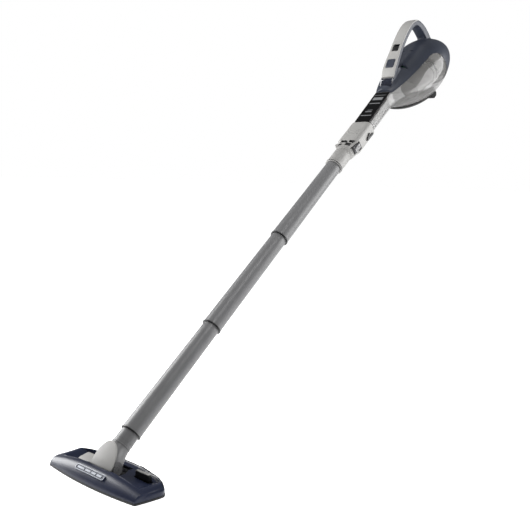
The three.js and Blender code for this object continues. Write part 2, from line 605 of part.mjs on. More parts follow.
// A band that follows the handle, between two offsets from its centre line as shares of
// its thickness plus a distance.
function handleBand(t0, t1, steps, low, high, halfWidth) {
  const inner = [];
  const outer = [];
  for (let i = 0; i <= steps; i++) {
    const t = t0 + ((t1 - t0) * i) / steps;
    const p = handleCurve.getPoint(t);
    const d = handleCurve.getTangent(t);
    const half = handleThickness(t) / 2;
    const at = ({ share, distance }) => {
      const out = share * half + distance;
      return [p.y - d.z * out, p.z + d.y * out];
    };
    inner.push(at(low));
    outer.push(at(high));
  }
  return slabX([...inner, ...outer.reverse()], -halfWidth, halfWidth);
}
const edge = (share, distance = 0) => ({ share, distance });

const STRIP = { from: 0.1, to: 0.74, depth: 2.4, half: 13 };
const stripTool = handleBand(
  STRIP.from - 0.004, STRIP.to + 0.004, 18, edge(1, -STRIP.depth - GAP), edge(1, 12), HANDLE_HALF + 1);
const behindBowl = slabX(bowlOutline(GAP / 2), -95, 95);
const shellSpace = cut(box(-90, 90, -110, 130, BULB_FROM - 0.2, 1260), behindBowl);

// A frame on the handle at height z up the wand: x across, y out of the grip, z along it.
function handleFrame(z) {
  let t = 0;
  while (handleCurve.getPoint(t).z < z) t += 0.002;
  const p = handleCurve.getPoint(t);
  const along = handleCurve.getTangent(t).setX(0).normalize();
  const out = V(0, -along.z, along.y);
  const half = handleThickness(t) / 2;
  const frame = new THREE.Matrix4().makeBasis(V(-1, 0, 0), out, along);
  return frame.setPosition(0, p.y + out.y * half, p.z + out.z * half);
}

const SWITCH = { frame: handleFrame(1049), half: 7.6, from: -9, to: 3, travel: 6 };
const BOOST = { frame: handleFrame(1011), half: 9.8, halfLength: 10.4 };
const RELEASE = { from: 963, to: 980.5, foot: 17, top: 32, half: 14, travel: 2.5 };
const CLEAR = 0.35; // round each button
// A pocket as wide as a button and its clearance, between two depths and two heights.
const pocket = ({ half }, y0, y1, z0, z1) => box(-half - CLEAR, half + CLEAR, y0, y1, z0 - CLEAR, z1 + CLEAR);
const switchPocket = moved(pocket(SWITCH, -5.2, 3, SWITCH.from, SWITCH.to + SWITCH.travel), SWITCH.frame);
const boostPocket = moved(pocket(BOOST, -5.6, 3, -BOOST.halfLength, BOOST.halfLength), BOOST.frame);
const releasePocket = pocket(
  RELEASE, -60, -RELEASE.foot + CLEAR, RELEASE.from - 1.6, RELEASE.to + RELEASE.travel);

const bosses = [{ z: 1100, up: 24 }, { z: 1180, up: -8 }, { z: 1150, up: -68 }, { z: 1116, up: 74.8 }];
const across = (radius, { z, up }, x0, x1) => bar(radius, V(x0, -up, z), V(x1, -up, z), 16);
const handleBlock = handleBand(0, 1, 24, edge(-1), edge(1), HANDLE_HALF);
const handleRoot = slabX([
  [-SEAM_UP - 0.6, 968], [-27, 974], [-38, 1002], [-28, 1010], [-SEAM_UP - 0.6, 1004],
], -HANDLE_HALF, HANDLE_HALF);
const bodyOuter = union(bulbSolid(0), handleBlock, handleRoot).intersect(shellSpace);
const bodyHollow = cut(
  union(
    bulbSolid(SHELL_WALL).intersect(box(-90, 90, -110, 130, 986, 1260)),
    handleBand(0.24, 0.985, 18, edge(-1, 2.2), edge(1, -2.2 - STRIP.depth), HANDLE_HALF - 2.2),
  ),
  ...bosses.map((boss) => across(4.4, boss, -70, 70)),
);
const SOCKET = { y: 43, radius: 5.4 };
const vents = [1168, 1175, 1182].map((z) => box(-20, 20, 50, 110, z - 1.4, z + 1.4));
const socketHole = bar(SOCKET.radius + GAP, V(0, SOCKET.y, 1190), V(0, SOCKET.y, 1230), 24);
const bodyShell = cut(
  bodyOuter, bodyHollow, stripTool, releasePocket, switchPocket, boostPocket, ...vents, socketHole,
  ...bosses.map((boss) => across(1.8, boss, -70, 12)),
);
const leftOfSeam = box(GAP / 2, 90, -130, 130, 900, 1300);
const rightOfSeam = box(-90, -GAP / 2, -130, 130, 900, 1300);

// Each screw head sinks into a counterbore in the right shell.
const screwHead = ({ z, up }) => {
  if (up > 40) return -HANDLE_HALF;
  const { radius, centre } = bulbAt(z);
  return -BULB_BREADTH * Math.sqrt(radius ** 2 - (Math.abs(up - centre) + 4) ** 2);
};
const counterbores = bosses.map((boss) => across(3.4, boss, -90, screwHead(boss) + 3));
piece(wand, 'body_shell_left', bodyShell.intersect(leftOfSeam), navy);
piece(wand, 'body_shell_right', cut(bodyShell.intersect(rightOfSeam), ...counterbores), navy);
bosses.forEach((boss, i) => {
  const head = screwHead(boss);
  const screw = union(across(3, boss, head + 0.6, head + 2.6), across(1.4, boss, head + 2, 10));
  piece(wand, `body_screw_${i + 1}`, screw, steel);
});

piece(wand, 'handle_strip', cut(
  handleBand(STRIP.from, STRIP.to, 18, edge(1, -STRIP.depth), edge(1), STRIP.half),
  switchPocket, boostPocket, releasePocket), paleGrey);
piece(wand, 'power_switch', moved(union(
  box(-SWITCH.half, SWITCH.half, -4.6, 0.4, SWITCH.from, SWITCH.to),
  ...[-7, -4.4, -1.8, 0.8].map((z) => box(-SWITCH.half + 1, SWITCH.half - 1, 0, 1.3, z - 0.6, z + 0.6)),
), SWITCH.frame), charcoal);
piece(wand, 'boost_button', moved(
  box(-BOOST.half, BOOST.half, -3.6, 1.1, -BOOST.halfLength, BOOST.halfLength), BOOST.frame), navy);
piece(wand, 'bowl_release', slabX([
  [-RELEASE.foot, RELEASE.from], [-RELEASE.foot, RELEASE.to],
  [-RELEASE.top, RELEASE.to], [-RELEASE.top, RELEASE.to - 2.5],
], -RELEASE.half, RELEASE.half), navy);

// ---------------------------------------------------------------- inside the body
const onMotorAxis = (profile, segments = 28) => turned(profile, segments, 0, MOTOR_Y);

// The bulkhead closes the body towards the bowl. Air passes through its round hole.
const BULKHEAD_THICKNESS = 2.5;
const bulkheadBlank = bulbSolid(SHELL_WALL + GAP)
  .intersect(slabX(bowlOutline(GAP + BULKHEAD_THICKNESS), -80, 80))
  .intersect(box(-80, 80, -40, 120, 990, 1200));
const airHole = onMotorAxis([[0, 1100], [20, 1100], [20, 1160], [0, 1160]]);
piece(wand, 'bulkhead', cut(bulkheadBlank, slabX(bowlOutline(GAP), -90, 90), airHole), charcoal);
// Profiles of the filter parts, as radius and distance ahead of the filter's rear.
const filterPart = (profile) => onMotorAxis(profile.map(([r, ahead]) => [r, FILTER_REAR - ahead]));
piece(wand, 'bulkhead_gasket', filterPart([[31.4, 3.2], [34.4, 3.2], [34.4, 0], [31.4, 0]]), rubber);
piece(wand, 'filter_frame', filterPart([[14, 7.4], [31, 7.4], [31, 3.8], [28, 0], [14, 0]]), charcoal);
piece(wand, 'prefilter_cup', filterPart([
  [0, 75], [21, 75], [28.5, 11], [33, 11], [33, 7.8], [27, 7.8], [19.5, 73.2], [0, 73.2],
]), charcoal);
const PLEATS = 16;
const pleatRing = (z, radius, depth) => Array.from({ length: PLEATS * 2 }, (_, i) => {
  const a = (i / PLEATS) * Math.PI;
  const r = radius - (i % 2) * depth;
  return V(r * Math.cos(a), MOTOR_Y + r * Math.sin(a), z);
});
piece(wand, 'pleated_filter', cut(
  loft([pleatRing(FILTER_REAR - 71, 18, 3.6), pleatRing(FILTER_REAR - 9, 25, 4.6)]),
  filterPart([[0, 67], [11, 67], [15, 7], [0, 7]]),
), fibre);

piece(wand, 'motor_can', onMotorAxis([
  [0, 1151], [2.2, 1151], [2.2, 1137], [15, 1137], [17.5, 1140], [17.5, 1172], [9, 1176], [0, 1176],
]), steel);
// The same box on both sides of the centre line, between two distances from it.
const bothSides = (x0, x1, ...rest) => union(box(-x1, -x0, ...rest), box(x0, x1, ...rest));
piece(wand, 'motor_mount', union(
  onMotorAxis([[17.9, 1144], [19.6, 1144], [19.6, 1152], [17.9, 1152]]),
  bothSides(19, 46, MOTOR_Y - 3, MOTOR_Y + 3, 1146, 1150),
), charcoal);
piece(wand, 'motor_shaft', onMotorAxis([[0, 1126], [1.6, 1126], [1.6, 1150.4], [0, 1150.4]], 16), steel);
const BLADES = 8;
const blade = (i) => {
  const turn = new THREE.Matrix4().makeRotationZ((i / BLADES) * 2 * Math.PI);
  return moved(box(-0.7, 0.7, 4, 18.6, 1127, 1133), turn.setPosition(0, MOTOR_Y, 0));
};
piece(wand, 'fan_impeller', cut(
  union(
    onMotorAxis([[1.95, 1127], [5, 1127], [5, 1132.4], [19, 1132.4], [19, 1133.8], [1.95, 1133.8]]),
    ...Array.from({ length: BLADES }, (_, i) => blade(i)),
  ),
  onMotorAxis([[0, 1120], [1.95, 1120], [1.95, 1140], [0, 1140]], 16)), charcoal);

const CELL = { radius: 9.2, halfLength: 32.5, y: 9 };
[1137, 1156].forEach((z, i) => {
  const cell = bar(CELL.radius, V(-CELL.halfLength, CELL.y, z), V(CELL.halfLength, CELL.y, z), 24);
  piece(wand, `battery_cell_${i + 1}`, cell, blue);
});
piece(wand, 'battery_holder', union(
  box(-34, 34, 18.6, 19.8, 1127, 1166), bothSides(33, 34.2, 8, 19.8, 1128, 1164),
), charcoal);
piece(wand, 'circuit_board', box(-14, 14, -20, -18.4, 1030, 1085), green);
piece(wand, 'charge_socket', turned([
  [0, 1188], [SOCKET.radius, 1188], [SOCKET.radius, 1208], [3, 1208], [3, 1196], [0, 1196],
], 24, 0, SOCKET.y), charcoal);

export default model;
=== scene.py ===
"""Looks of the cordless stick vacuum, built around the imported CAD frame. Metres, +Z up."""

import math

import bmesh
import bpy
from mathutils import Matrix, Vector


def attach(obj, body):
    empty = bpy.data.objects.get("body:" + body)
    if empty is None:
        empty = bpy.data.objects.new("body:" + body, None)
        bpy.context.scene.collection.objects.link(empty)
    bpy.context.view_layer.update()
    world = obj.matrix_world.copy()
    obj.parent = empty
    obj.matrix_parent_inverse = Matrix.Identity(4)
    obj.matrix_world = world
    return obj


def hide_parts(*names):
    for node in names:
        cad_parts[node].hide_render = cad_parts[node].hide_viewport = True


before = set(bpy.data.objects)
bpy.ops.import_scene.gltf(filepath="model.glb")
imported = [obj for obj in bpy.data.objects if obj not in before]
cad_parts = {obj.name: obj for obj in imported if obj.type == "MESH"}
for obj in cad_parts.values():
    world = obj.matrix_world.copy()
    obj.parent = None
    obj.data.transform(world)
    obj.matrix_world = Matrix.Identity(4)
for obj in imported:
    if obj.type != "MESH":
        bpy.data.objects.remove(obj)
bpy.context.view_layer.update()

MM = 0.001
LEAN = math.radians(50)
PIVOT_HEIGHT = 20.8

# Shapes are made in millimetres, in the floor head's frame or in the wand's frame, where
# z runs up the wand from the pivot and y points away from the handle.
HEAD = Matrix.Scale(MM, 4)
WAND = HEAD @ Matrix.Translation((0, 0, PIVOT_HEIGHT)) @ Matrix.Rotation(-LEAN, 4, "X")
Z_TO_X = Matrix.Rotation(math.pi / 2, 4, "Y")


# ---------------------------------------------------------------- camera
# fitted to the photograph: its turn, the lens in millimetres and where it stands in metres
AZIMUTH, ELEVATION, ROLL = math.radians(41.23), math.radians(6.73), math.radians(1.54)
LENS, SENSOR = 50.53, 36
STAND = Vector((0.88322, -0.65634, 0.45823))


def make_camera():
    side = Vector((math.cos(AZIMUTH), math.sin(AZIMUTH), 0))
    ahead = Vector((-math.sin(AZIMUTH) * math.cos(ELEVATION),
                    math.cos(AZIMUTH) * math.cos(ELEVATION), -math.sin(ELEVATION)))
    top = side.cross(ahead)
    right = math.cos(ROLL) * side + math.sin(ROLL) * top
    up = -math.sin(ROLL) * side + math.cos(ROLL) * top
    data = bpy.data.cameras.new("photo_camera")
    data.lens = LENS
    data.sensor_width = SENSOR
    camera = bpy.data.objects.new("photo_camera", data)
    matrix = Matrix((right, up, -ahead)).transposed().to_4x4()
    matrix.translation = STAND
    camera.matrix_world = matrix
    bpy.context.collection.objects.link(camera)
    bpy.context.scene.camera = camera


# ---------------------------------------------------------------- materials
def srgb(value):
    c = value / 255
    return c / 12.92 if c <= 0.04045 else ((c + 0.055) / 1.055) ** 2.4


def rgb(r, g, b):
    return (srgb(r), srgb(g), srgb(b), 1)


def moulded(name, colour, roughness, grain=900, bump=0.05, spread=0.08, metallic=0.0, coat=0.0,
            alpha=1.0, specular=0.5):
    """A moulded surface: fine grain in the bump, and slow drift in colour and roughness."""
    material = bpy.data.materials.new(name)
    material.use_nodes = True
    nodes, links = material.node_tree.nodes, material.node_tree.links
    shader = nodes["Principled BSDF"]
    shader.inputs["Metallic"].default_value = metallic
    shader.inputs["Coat Weight"].default_value = coat
    shader.inputs["Coat Roughness"].default_value = 0.12
    shader.inputs["Specular IOR Level"].default_value = specular
    shader.inputs["Alpha"].default_value = alpha
    place = nodes.new("ShaderNodeTexCoord")
    fine = nodes.new("ShaderNodeTexNoise")
    fine.inputs["Scale"].default_value = grain
    fine.inputs["Detail"].default_value = 3
    slow = nodes.new("ShaderNodeTexNoise")
    slow.inputs["Scale"].default_value = 26
    slow.inputs["Detail"].default_value = 4
    links.new(place.outputs["Object"], fine.inputs["Vector"])
    links.new(place.outputs["Object"], slow.inputs["Vector"])
    tint = nodes.new("ShaderNodeValToRGB")
    dark = [c * (1 - spread) for c in colour[:3]]
    light = [min(1, c * (1 + spread)) for c in colour[:3]]
    tint.color_ramp.elements[0].position = 0.3
    tint.color_ramp.elements[0].color = (*dark, 1)
    tint.color_ramp.elements[1].position = 0.7
    tint.color_ramp.elements[1].color = (*light, 1)
    links.new(slow.outputs["Fac"], tint.inputs["Fac"])
    links.new(tint.outputs["Color"], shader.inputs["Base Color"])
    sheen = nodes.new("ShaderNodeMapRange")
    sheen.inputs["To Min"].default_value = roughness * 0.85
    sheen.inputs["To Max"].default_value = min(1, roughness * 1.15)
    links.new(slow.outputs["Fac"], sheen.inputs["Value"])
    links.new(sheen.outputs["Result"], shader.inputs["Roughness"])
    relief = nodes.new("ShaderNodeBump")
    relief.inputs["Strength"].default_value = bump
    relief.inputs["Distance"].default_value = 0.0001
    links.new(fine.outputs["Fac"], relief.inputs["Height"])
    links.new(relief.outputs["Normal"], shader.inputs["Normal"])
    return material


NAVY = moulded("navy_gloss", rgb(43, 47, 57), 0.42, bump=0.02, coat=0.04, specular=0.25)
HEAD_NAVY = moulded("head_navy_gloss", rgb(25, 31, 51), 0.36, bump=0.02, coat=0.06, specular=0.3)
BLACK = moulded("black_satin", rgb(17, 18, 20), 0.45, bump=0.06, specular=0.35)
RUBBER = moulded("soft_black_rubber", rgb(10, 10, 11), 0.7, grain=1400, bump=0.2, specular=0.12)
SKID_BLACK = moulded("skid_black", rgb(7, 7, 8), 0.6, bump=0.06, specular=0.12)
WAND_GREY = moulded("wand_grey_satin", rgb(96, 96, 97), 0.42, bump=0.012, spread=0.04)
PALE = moulded("pale_warm_grey", rgb(140, 139, 137), 0.5, bump=0.05, spread=0.04)
SMOKE = moulded("smoked_clear", rgb(118, 117, 116), 0.1, grain=60, bump=0.01, alpha=0.34,
                coat=0.3, specular=0.4)
STEEL = moulded("plain_steel", rgb(165, 166, 170), 0.32, grain=400, bump=0.04, metallic=1.0)
CLOTH = moulded("filter_cloth", rgb(118, 117, 115), 0.9, grain=2200, bump=0.5)
BRISTLE = moulded("bristle_pack", rgb(70, 70, 74), 0.8, grain=3000, bump=0.8)
BOARD = moulded("lacquered_board", rgb(40, 110, 74), 0.4, grain=300, bump=0.1)
CELL = moulded("cell_wrap", rgb(60, 100, 160), 0.35, grain=300, bump=0.03)
LABEL = moulded("label_film", rgb(9, 9, 10), 0.5, bump=0.01, specular=0.04)
PRINT = moulded("label_print", rgb(104, 105, 107), 0.5, bump=0.02)
NECK_GREY = moulded("neck_grey_satin", rgb(92, 92, 93), 0.45, bump=0.04)
PLAQUE_GREY = moulded("plaque_grey", rgb(150, 155, 166), 0.4, bump=0.03)
SMOKE_DARK = moulded("smoked_nozzle", rgb(90, 90, 90), 0.2, grain=80, bump=0.01, alpha=0.75)
LATCH = moulded("latch_gloss", rgb(24, 27, 38), 0.15, bump=0.01, coat=0.6)
MID = moulded("mid_grey", rgb(140, 139, 137), 0.5, bump=0.05)
BUTTON_GREY = moulded("button_grey", rgb(66, 66, 68), 0.22, bump=0.02, coat=0.3)


# ---------------------------------------------------------------- mesh helpers
def raw(verts, faces):
    mesh = bpy.data.meshes.new("raw")
    mesh.from_pydata([tuple(v) for v in verts], [], faces)
    work = bmesh.new()
    work.from_mesh(mesh)
    bmesh.ops.recalc_face_normals(work, faces=work.faces)
    work.to_mesh(mesh)
    work.free()
    item = bpy.data.objects.new("raw", mesh)
    bpy.context.collection.objects.link(item)
    return item


def settle(item):
    """Applies the modifiers of a work object to its mesh."""
    depsgraph = bpy.context.evaluated_depsgraph_get()
    mesh = bpy.data.meshes.new_from_object(item.evaluated_get(depsgraph))
    item.modifiers.clear()
    item.data = mesh
    return item


def combine(base, operation, tools):
    """Applies each tool to base and removes it."""
    for tool in tools:
        step = base.modifiers.new("step", "BOOLEAN")
        step.operation = operation
        step.solver = "MANIFOLD"
        step.object = tool
        settle(base)
        bpy.data.objects.remove(tool)
    return base


def cut(base, *tools):
    return combine(base, "DIFFERENCE", tools)


def join(base, *tools):
    return combine(base, "UNION", tools)


def overlap(base, *tools):
    return combine(base, "INTERSECT", tools)


def merge(base, *others):
    """Adds the islands of other work objects to base, which keeps its materials' numbers."""
    work = bmesh.new()
    for item in (base, *others):
        work.from_mesh(item.data)
    mesh = bpy.data.meshes.new("merged")
    work.to_mesh(mesh)
    work.free()
    base.data = mesh
    for item in others:
        bpy.data.objects.remove(item)
    return base


def soften(item, width, segments=2, angle=30):
    """Bevels the edges that turn by more than angle degrees."""
    step = item.modifiers.new("edge", "BEVEL")
    step.width = width
    step.segments = segments
    step.limit_method = "ANGLE"
    step.angle_limit = math.radians(angle)
    return settle(item)


def loft(rings):
    """A closed skin through rings of equal counts, capped at each end."""
    count = len(rings[0])
    verts = [p for ring_points in rings for p in ring_points]
    faces = []
    for r in range(len(rings) - 1):
        for i in range(count):
            j = (i + 1) % count
            faces.append((r * count + i, r * count + j, (r + 1) * count + j, (r + 1) * count + i))
    faces.append(tuple(range(count))[::-1])
    last = (len(rings) - 1) * count
    faces.append(tuple(last + i for i in range(count)))
    return raw(verts, faces)


def turned(profile, segments=96):
    """A closed profile of (radius, z) turned about z. It may not touch the axis."""
    verts, faces = [], []
    n = len(profile)
    for s in range(segments):
        a = s / segments * math.tau
        verts += [(r * math.cos(a), r * math.sin(a), z) for r, z in profile]
    for s in range(segments):
        t = (s + 1) % segments
        for i in range(n):
            j = (i + 1) % n
            faces.append((s * n + i, s * n + j, t * n + j, t * n + i))
    return raw(verts, faces)


def block(x0, x1, y0, y1, z0, z1):
    verts = [(x, y, z) for x in (x0, x1) for y in (y0, y1) for z in (z0, z1)]
    faces = [(0, 1, 3, 2), (4, 6, 7, 5), (0, 4, 5, 1), (2, 3, 7, 6), (0, 2, 6, 4), (1, 5, 7, 3)]
    return raw(verts, faces)


# how a flat outline (a, b) and a height c along the axis become x, y and z
PLACES = {
    "x": lambda a, b, c: (c, a, b),
    "y": lambda a, b, c: (a, c, b),
    "z": lambda a, b, c: (a, b, c),
}


def prism(outline, low, high, axis):
    """A flat outline swept along axis. The outline is (y, z) for x, (x, z) for y and (x, y)
    for z."""
    n = len(outline)
    verts = [PLACES[axis](a, b, level) for level in (low, high) for a, b in outline]
    faces = [tuple(range(n))[::-1], tuple(range(n, 2 * n))]
    faces += [(i, (i + 1) % n, n + (i + 1) % n, n + i) for i in range(n)]
    return raw(verts, faces)


def rounded(half_a, half_b, radius, at=(0, 0), steps=6):
    """A rectangle with round corners around a point, as an outline."""
    points = []
    for k, (sa, sb) in enumerate([(1, 1), (-1, 1), (-1, -1), (1, -1)]):
        for s in range(steps + 1):
            a = (k + s / steps) * math.pi / 2
            points.append((sa * (half_a - radius) + radius * math.cos(a) + at[0],
                           sb * (half_b - radius) + radius * math.sin(a) + at[1]))
    return points


def drill(radius, low, high, x=0, y=0, segments=32):
    """A round bar along z."""
    points = [(x + radius * math.cos(k / segments * math.tau),
               y + radius * math.sin(k / segments * math.tau)) for k in range(segments)]
    return prism(points, low, high, "z")


def cross_bar(radius, z, up, x0, x1, segments=28):
    """A round bar along x, at height z and up towards the handle."""
    item = drill(radius, x0, x1, segments=segments)
    item.data.transform(Matrix.Translation((0, -up, z)) @ Z_TO_X)
    return item


def oval(z, half, up, down, power=2.0, power_down=None, count=96):
    """A superellipse ring at height z. up and down are its reach towards and away from the
    handle."""
    middle, half_up = (up + down) / 2, (up - down) / 2
    points = []
    for i in range(count):
        a = i / count * math.tau
        exponent = 2 / (power if i * 2 < count else (power_down or power))
        c, s = math.cos(a), math.sin(a)
        px = half * math.copysign(abs(c) ** exponent, c)
        py = middle + half_up * math.copysign(abs(s) ** exponent, s)
        points.append((px, -py, z))
    return points


EVERYWHERE = (-math.inf, math.inf)


def paint(item, index, x=EVERYWHERE, y=EVERYWHERE, z=EVERYWHERE):
    """Gives a material to the faces whose middle is in a box, or to all of them."""
    for face in item.data.polygons:
        if all(low <= c <= high for c, (low, high) in zip(face.center, (x, y, z))):
            face.material_index = index
    return item


def finished(item, name, space, body, materials, replaced, sharp=35):
    """Turns a work object into a piece of the vacuum."""
    item.name = name
    item.data.name = name
    item.data.transform(space)
    parts = [face.material_index for face in item.data.polygons]
    item.data.materials.clear()
    for material in materials:
        item.data.materials.append(material)
    item.data.polygons.foreach_set("material_index", [min(k, len(materials) - 1) for k in parts])
    item.data.shade_smooth()
    item.data.set_sharp_from_angle(angle=math.radians(sharp))
    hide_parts(*replaced)
    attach(item, body)
    return item


def smoothstep(x, low, high):
    t = max(0, min(1, (x - low) / (high - low)))
    return t * t * (3 - 2 * t)


def through(points, steps):
    """A smooth curve through points, with steps spans between neighbours."""
    out = []
    n = len(points)
    for i in range(n - 1):
        p = [Vector(points[max(0, min(n - 1, k))]) for k in (i - 1, i, i + 1, i + 2)]
        bend = 2 * p[0] - 5 * p[1] + 4 * p[2] - p[3]
        twist = 3 * p[1] - p[0] - 3 * p[2] + p[3]
        for s in range(steps):
            t = s / steps
            out.append(0.5 * ((2 * p[1]) + (p[2] - p[0]) * t + bend * t * t + twist * t ** 3))
    out.append(Vector(points[-1]))
    return out


# ---------------------------------------------------------------- floor head
HALF_WIDTH, CORNER_X, REAR_CORNER_X = 111, 104, 106
FRONT_Y, REAR_Y = -36.5, 54.5
SHELL_FLOOR, RIDGE_TOP, RIM_TOP = 3.3, 23.6, 12.6
SHELL_WALL = 2.2
NOTCH_HALF, NOTCH_RIM = 20, 11.2
# beyond this x the section is a plain end cap
CAP_X = 106.3
BRUSH_ROWS = {"front": -28.5, "rear": 34}
WHEELS = {"right": -72, "left": 72}
WHEEL_RADIUS = 3.5

# The shell's section at the middle, as shares of the way from front to rear and heights.
# The deck falls from the ridge to DECK_END, and the rim stands behind it.
RIDGE_SHARE, DECK_END = 0.236, 0.926
SECTION = [
    (0, SHELL_FLOOR), (0.006, 7.5), (0.04, 13.5), (0.095, 18.6), (0.165, 22.3),
    (RIDGE_SHARE, RIDGE_TOP), (0.297, 22.4), (0.332, 19.6), (0.36, 15), (0.43, 12.8),
    (0.62, 11.6), (0.88, 10.7), (0.925, 10.6),
]
RIM = [(0.932, 11.6), (0.945, RIM_TOP), (0.975, 12.4), (0.992, 10.4), (1, SHELL_FLOOR)]
HOLLOW_END = [(0.967, 9.6), (0.991, 7.8), (1, SHELL_FLOOR)]

# where the section is repeated, from the middle to the left end and then from end to end
STATIONS = [CORNER_X * math.sin(k / 40 * math.pi / 2) for k in range(40)]
STATIONS += [104, 105, 106, 106.6, 107, 108, 109, 109.8, 110.4, 110.8, HALF_WIDTH]
ACROSS = [-x for x in STATIONS[:0:-1]] + STATIONS


def past(x, start):
    """How far x is from start to the head's end, as a share."""
    return max(0, (abs(x) - start) / (HALF_WIDTH - start))


def front_edge(x):
    return FRONT_Y + 7.5 * (min(abs(x), CORNER_X) / CORNER_X) ** 2 + 40 * past(x, CORNER_X) ** 1.4


def rear_edge(x):
    return REAR_Y - 30 * (x / 107) ** 2 - 4 * past(x, REAR_CORNER_X) ** 2


def rim_top(x):
    """The rear rim's height, which rises towards the sides and falls at the very ends."""
    return 12.4 + 3.4 * smoothstep(abs(x), 45, 88) - 6.4 * smoothstep(abs(x), 99, 112)


def head_solid(inset, floor, with_rim):
    """The casing as one solid, smaller by inset all round, with or without its rear rim."""
    deck = [tuple(p)[:2] for p in through([(share, z, 0) for share, z in SECTION], 4)]
    curve = deck + (RIM if with_rim else HOLLOW_END)
    rings = []
    for x in ACROSS:
        front, rear = front_edge(x) + inset, rear_edge(x) - inset
        height = (1 - 0.48 * (abs(x) / CORNER_X) ** 2.2) * (1 - 0.2 * past(x, CORNER_X) ** 2)
        lip = rim_top(x)
        # the rim is lower behind the neck's notch
        lip_here = min(lip, NOTCH_RIM) if abs(x) < NOTCH_HALF else lip
        ridge = SHELL_FLOOR + (RIDGE_TOP - SHELL_FLOOR) * height - inset
        ring_points = []
        for i, (share, z) in enumerate(curve):
            foot = i in (0, len(curve) - 1)
            top = SHELL_FLOOR + (z - SHELL_FLOOR) * height - inset
            if with_rim and share > DECK_END:
                rise = (z - SHELL_FLOOR) / (RIM_TOP - SHELL_FLOOR)
                top = SHELL_FLOOR + rise * (lip_here - SHELL_FLOOR)
            elif with_rim and abs(x) > CAP_X:
                top = SHELL_FLOOR + (lip - SHELL_FLOOR) * min(1, share / 0.3) ** 0.6
            elif RIDGE_SHARE < share <= DECK_END:
                # towards the sides the deck fills out into a dome from the ridge to the rim
                along = (share - RIDGE_SHARE) / (DECK_END - RIDGE_SHARE)
                dome = ridge + (lip - inset - ridge) * along ** 1.5
                top += max(0, dome - top) * smoothstep(abs(x), 80, 96)
            ring_points.append((x * (1 - inset / HALF_WIDTH), front + share * (rear - front),
                                floor if foot else top))
        rings.append(ring_points)
    return loft(rings)


def head_shell():
    shell = head_solid(0, SHELL_FLOOR, True)
    inner = head_solid(SHELL_WALL, SHELL_FLOOR - 2, False)
    side = [(27.5, -13.8), (27.5, 15), (19, 29), (19, 38)]
    notch = prism(side + [(-x, y) for x, y in side[::-1]], 2, 40, "z")
    left_well = prism(rounded(18.5, 12.5, 3, (-61, 15)), 4, 40, "z")
    right_well = prism(rounded(17, 5.5, 2, (59.5, 24)), 4, 40, "z")
    cut(shell, inner, notch, left_well, right_well)
    soften(shell, 0.45, 2, 50)
    # the rear rim's faces are painted black, as painted shade along the rim's back wall
    for face in shell.data.polygons:
        c = face.center
        share = (c.y - front_edge(c.x)) / max(1, rear_edge(c.x) - front_edge(c.x))
        face.material_index = 1 if share > 0.95 and abs(c.x) < CAP_X else 0
    finished(shell, "head_shell_looks", HEAD, "floor_head", [HEAD_NAVY, BLACK],
             ["head_top_shell"], 38)


def front_plaque():
    """The plain raised plaque: an outline and short rounded bars."""
    plaque = soften(prism(rounded(34.5, 4.6, 3), 0, 1.1, "z"), 0.35, 2, 40)
    cut(plaque, prism(rounded(33.4, 3.5, 2.2), 0.6, 3, "z"))
    paint(plaque, 1, z=(0.75, 2))
    bars = [prism(rounded(half, 1.5, 1.2, (x, 0)), 0.62, 1.05, "z")
            for x, half in ((-22, 8), (-5, 6), (9, 5), (22.5, 5.5))]
    merge(plaque, *[paint(bar, 1) for bar in bars])
    slope = Matrix.Rotation(math.radians(41), 4, "X")
    plaque.data.transform(Matrix.Translation((0, -27.9, 19.2)) @ slope)
    finished(plaque, "front_plaque_looks", HEAD, "floor_head",
             [HEAD_NAVY, PLAQUE_GREY], ["front_plaque"])


def head_sole():
    outline = [(x * 1.004, front_edge(x) - 0.3) for x in ACROSS]
    outline += [(x * 1.004, rear_edge(x) + 0.3) for x in ACROSS[::-1]]
    sole = prism(outline, 0, 3, "z")
    cut(sole, block(-96, 96, -25, -13, -1, 5), block(-24, 24, -14, -7, -1, 5),
        *[block(-63, 63, y - 2, y + 2, -1, 5) for y in BRUSH_ROWS.values()],
        *[block(x - 5, x + 5, -6.5, 2.5, -1, 5) for x in WHEELS.values()],
        *[block(x - 7.4, x + 7.4, -3.5, -0.5, 2, 5) for x in WHEELS.values()],
        *[drill(2.2, -1, 5, x, 42) for x in (-36, 36)])
    soften(sole, 0.4, 2, 50)
    finished(sole, "head_sole_looks", HEAD, "floor_head", [BLACK], ["head_sole_plate"])


def pedals():
    """The grey pedal slopes up to the rear, the dark one stands as a ribbed blade."""
    grey = prism([(4.6, 9.4), (25.6, 9.4), (25.6, 14.6), (22.5, 15.4), (8, 12.4), (4.6, 11.2)],
                 -77, -45, "x")
    soften(grey, 0.7, 3, 25)
    finished(grey, "grey_pedal_looks", HEAD, "pedals", [PALE], ["pedal_left"])
    dark = prism([(20.3, 9.3), (27.6, 9.3), (26.9, 19.8), (26.2, 20.5), (22, 20.6), (21, 19.9)],
                 44.4, 74.6, "x")
    soften(dark, 0.5, 3, 25)
    cut(dark, *[block(x - 0.5, x + 0.5, 21.2, 22.4, 11, 19.2) for x in range(47, 74, 3)])
    cap = prism([(21.6, 19.9), (26.4, 19.9), (26.3, 21), (21.8, 21.1)], 44.8, 74.2, "x")
    soften(cap, 0.35, 2, 25)
    finished(merge(dark, paint(cap, 1)), "dark_pedal_looks", HEAD, "pedals",
             [BLACK, MID], ["pedal_right"])


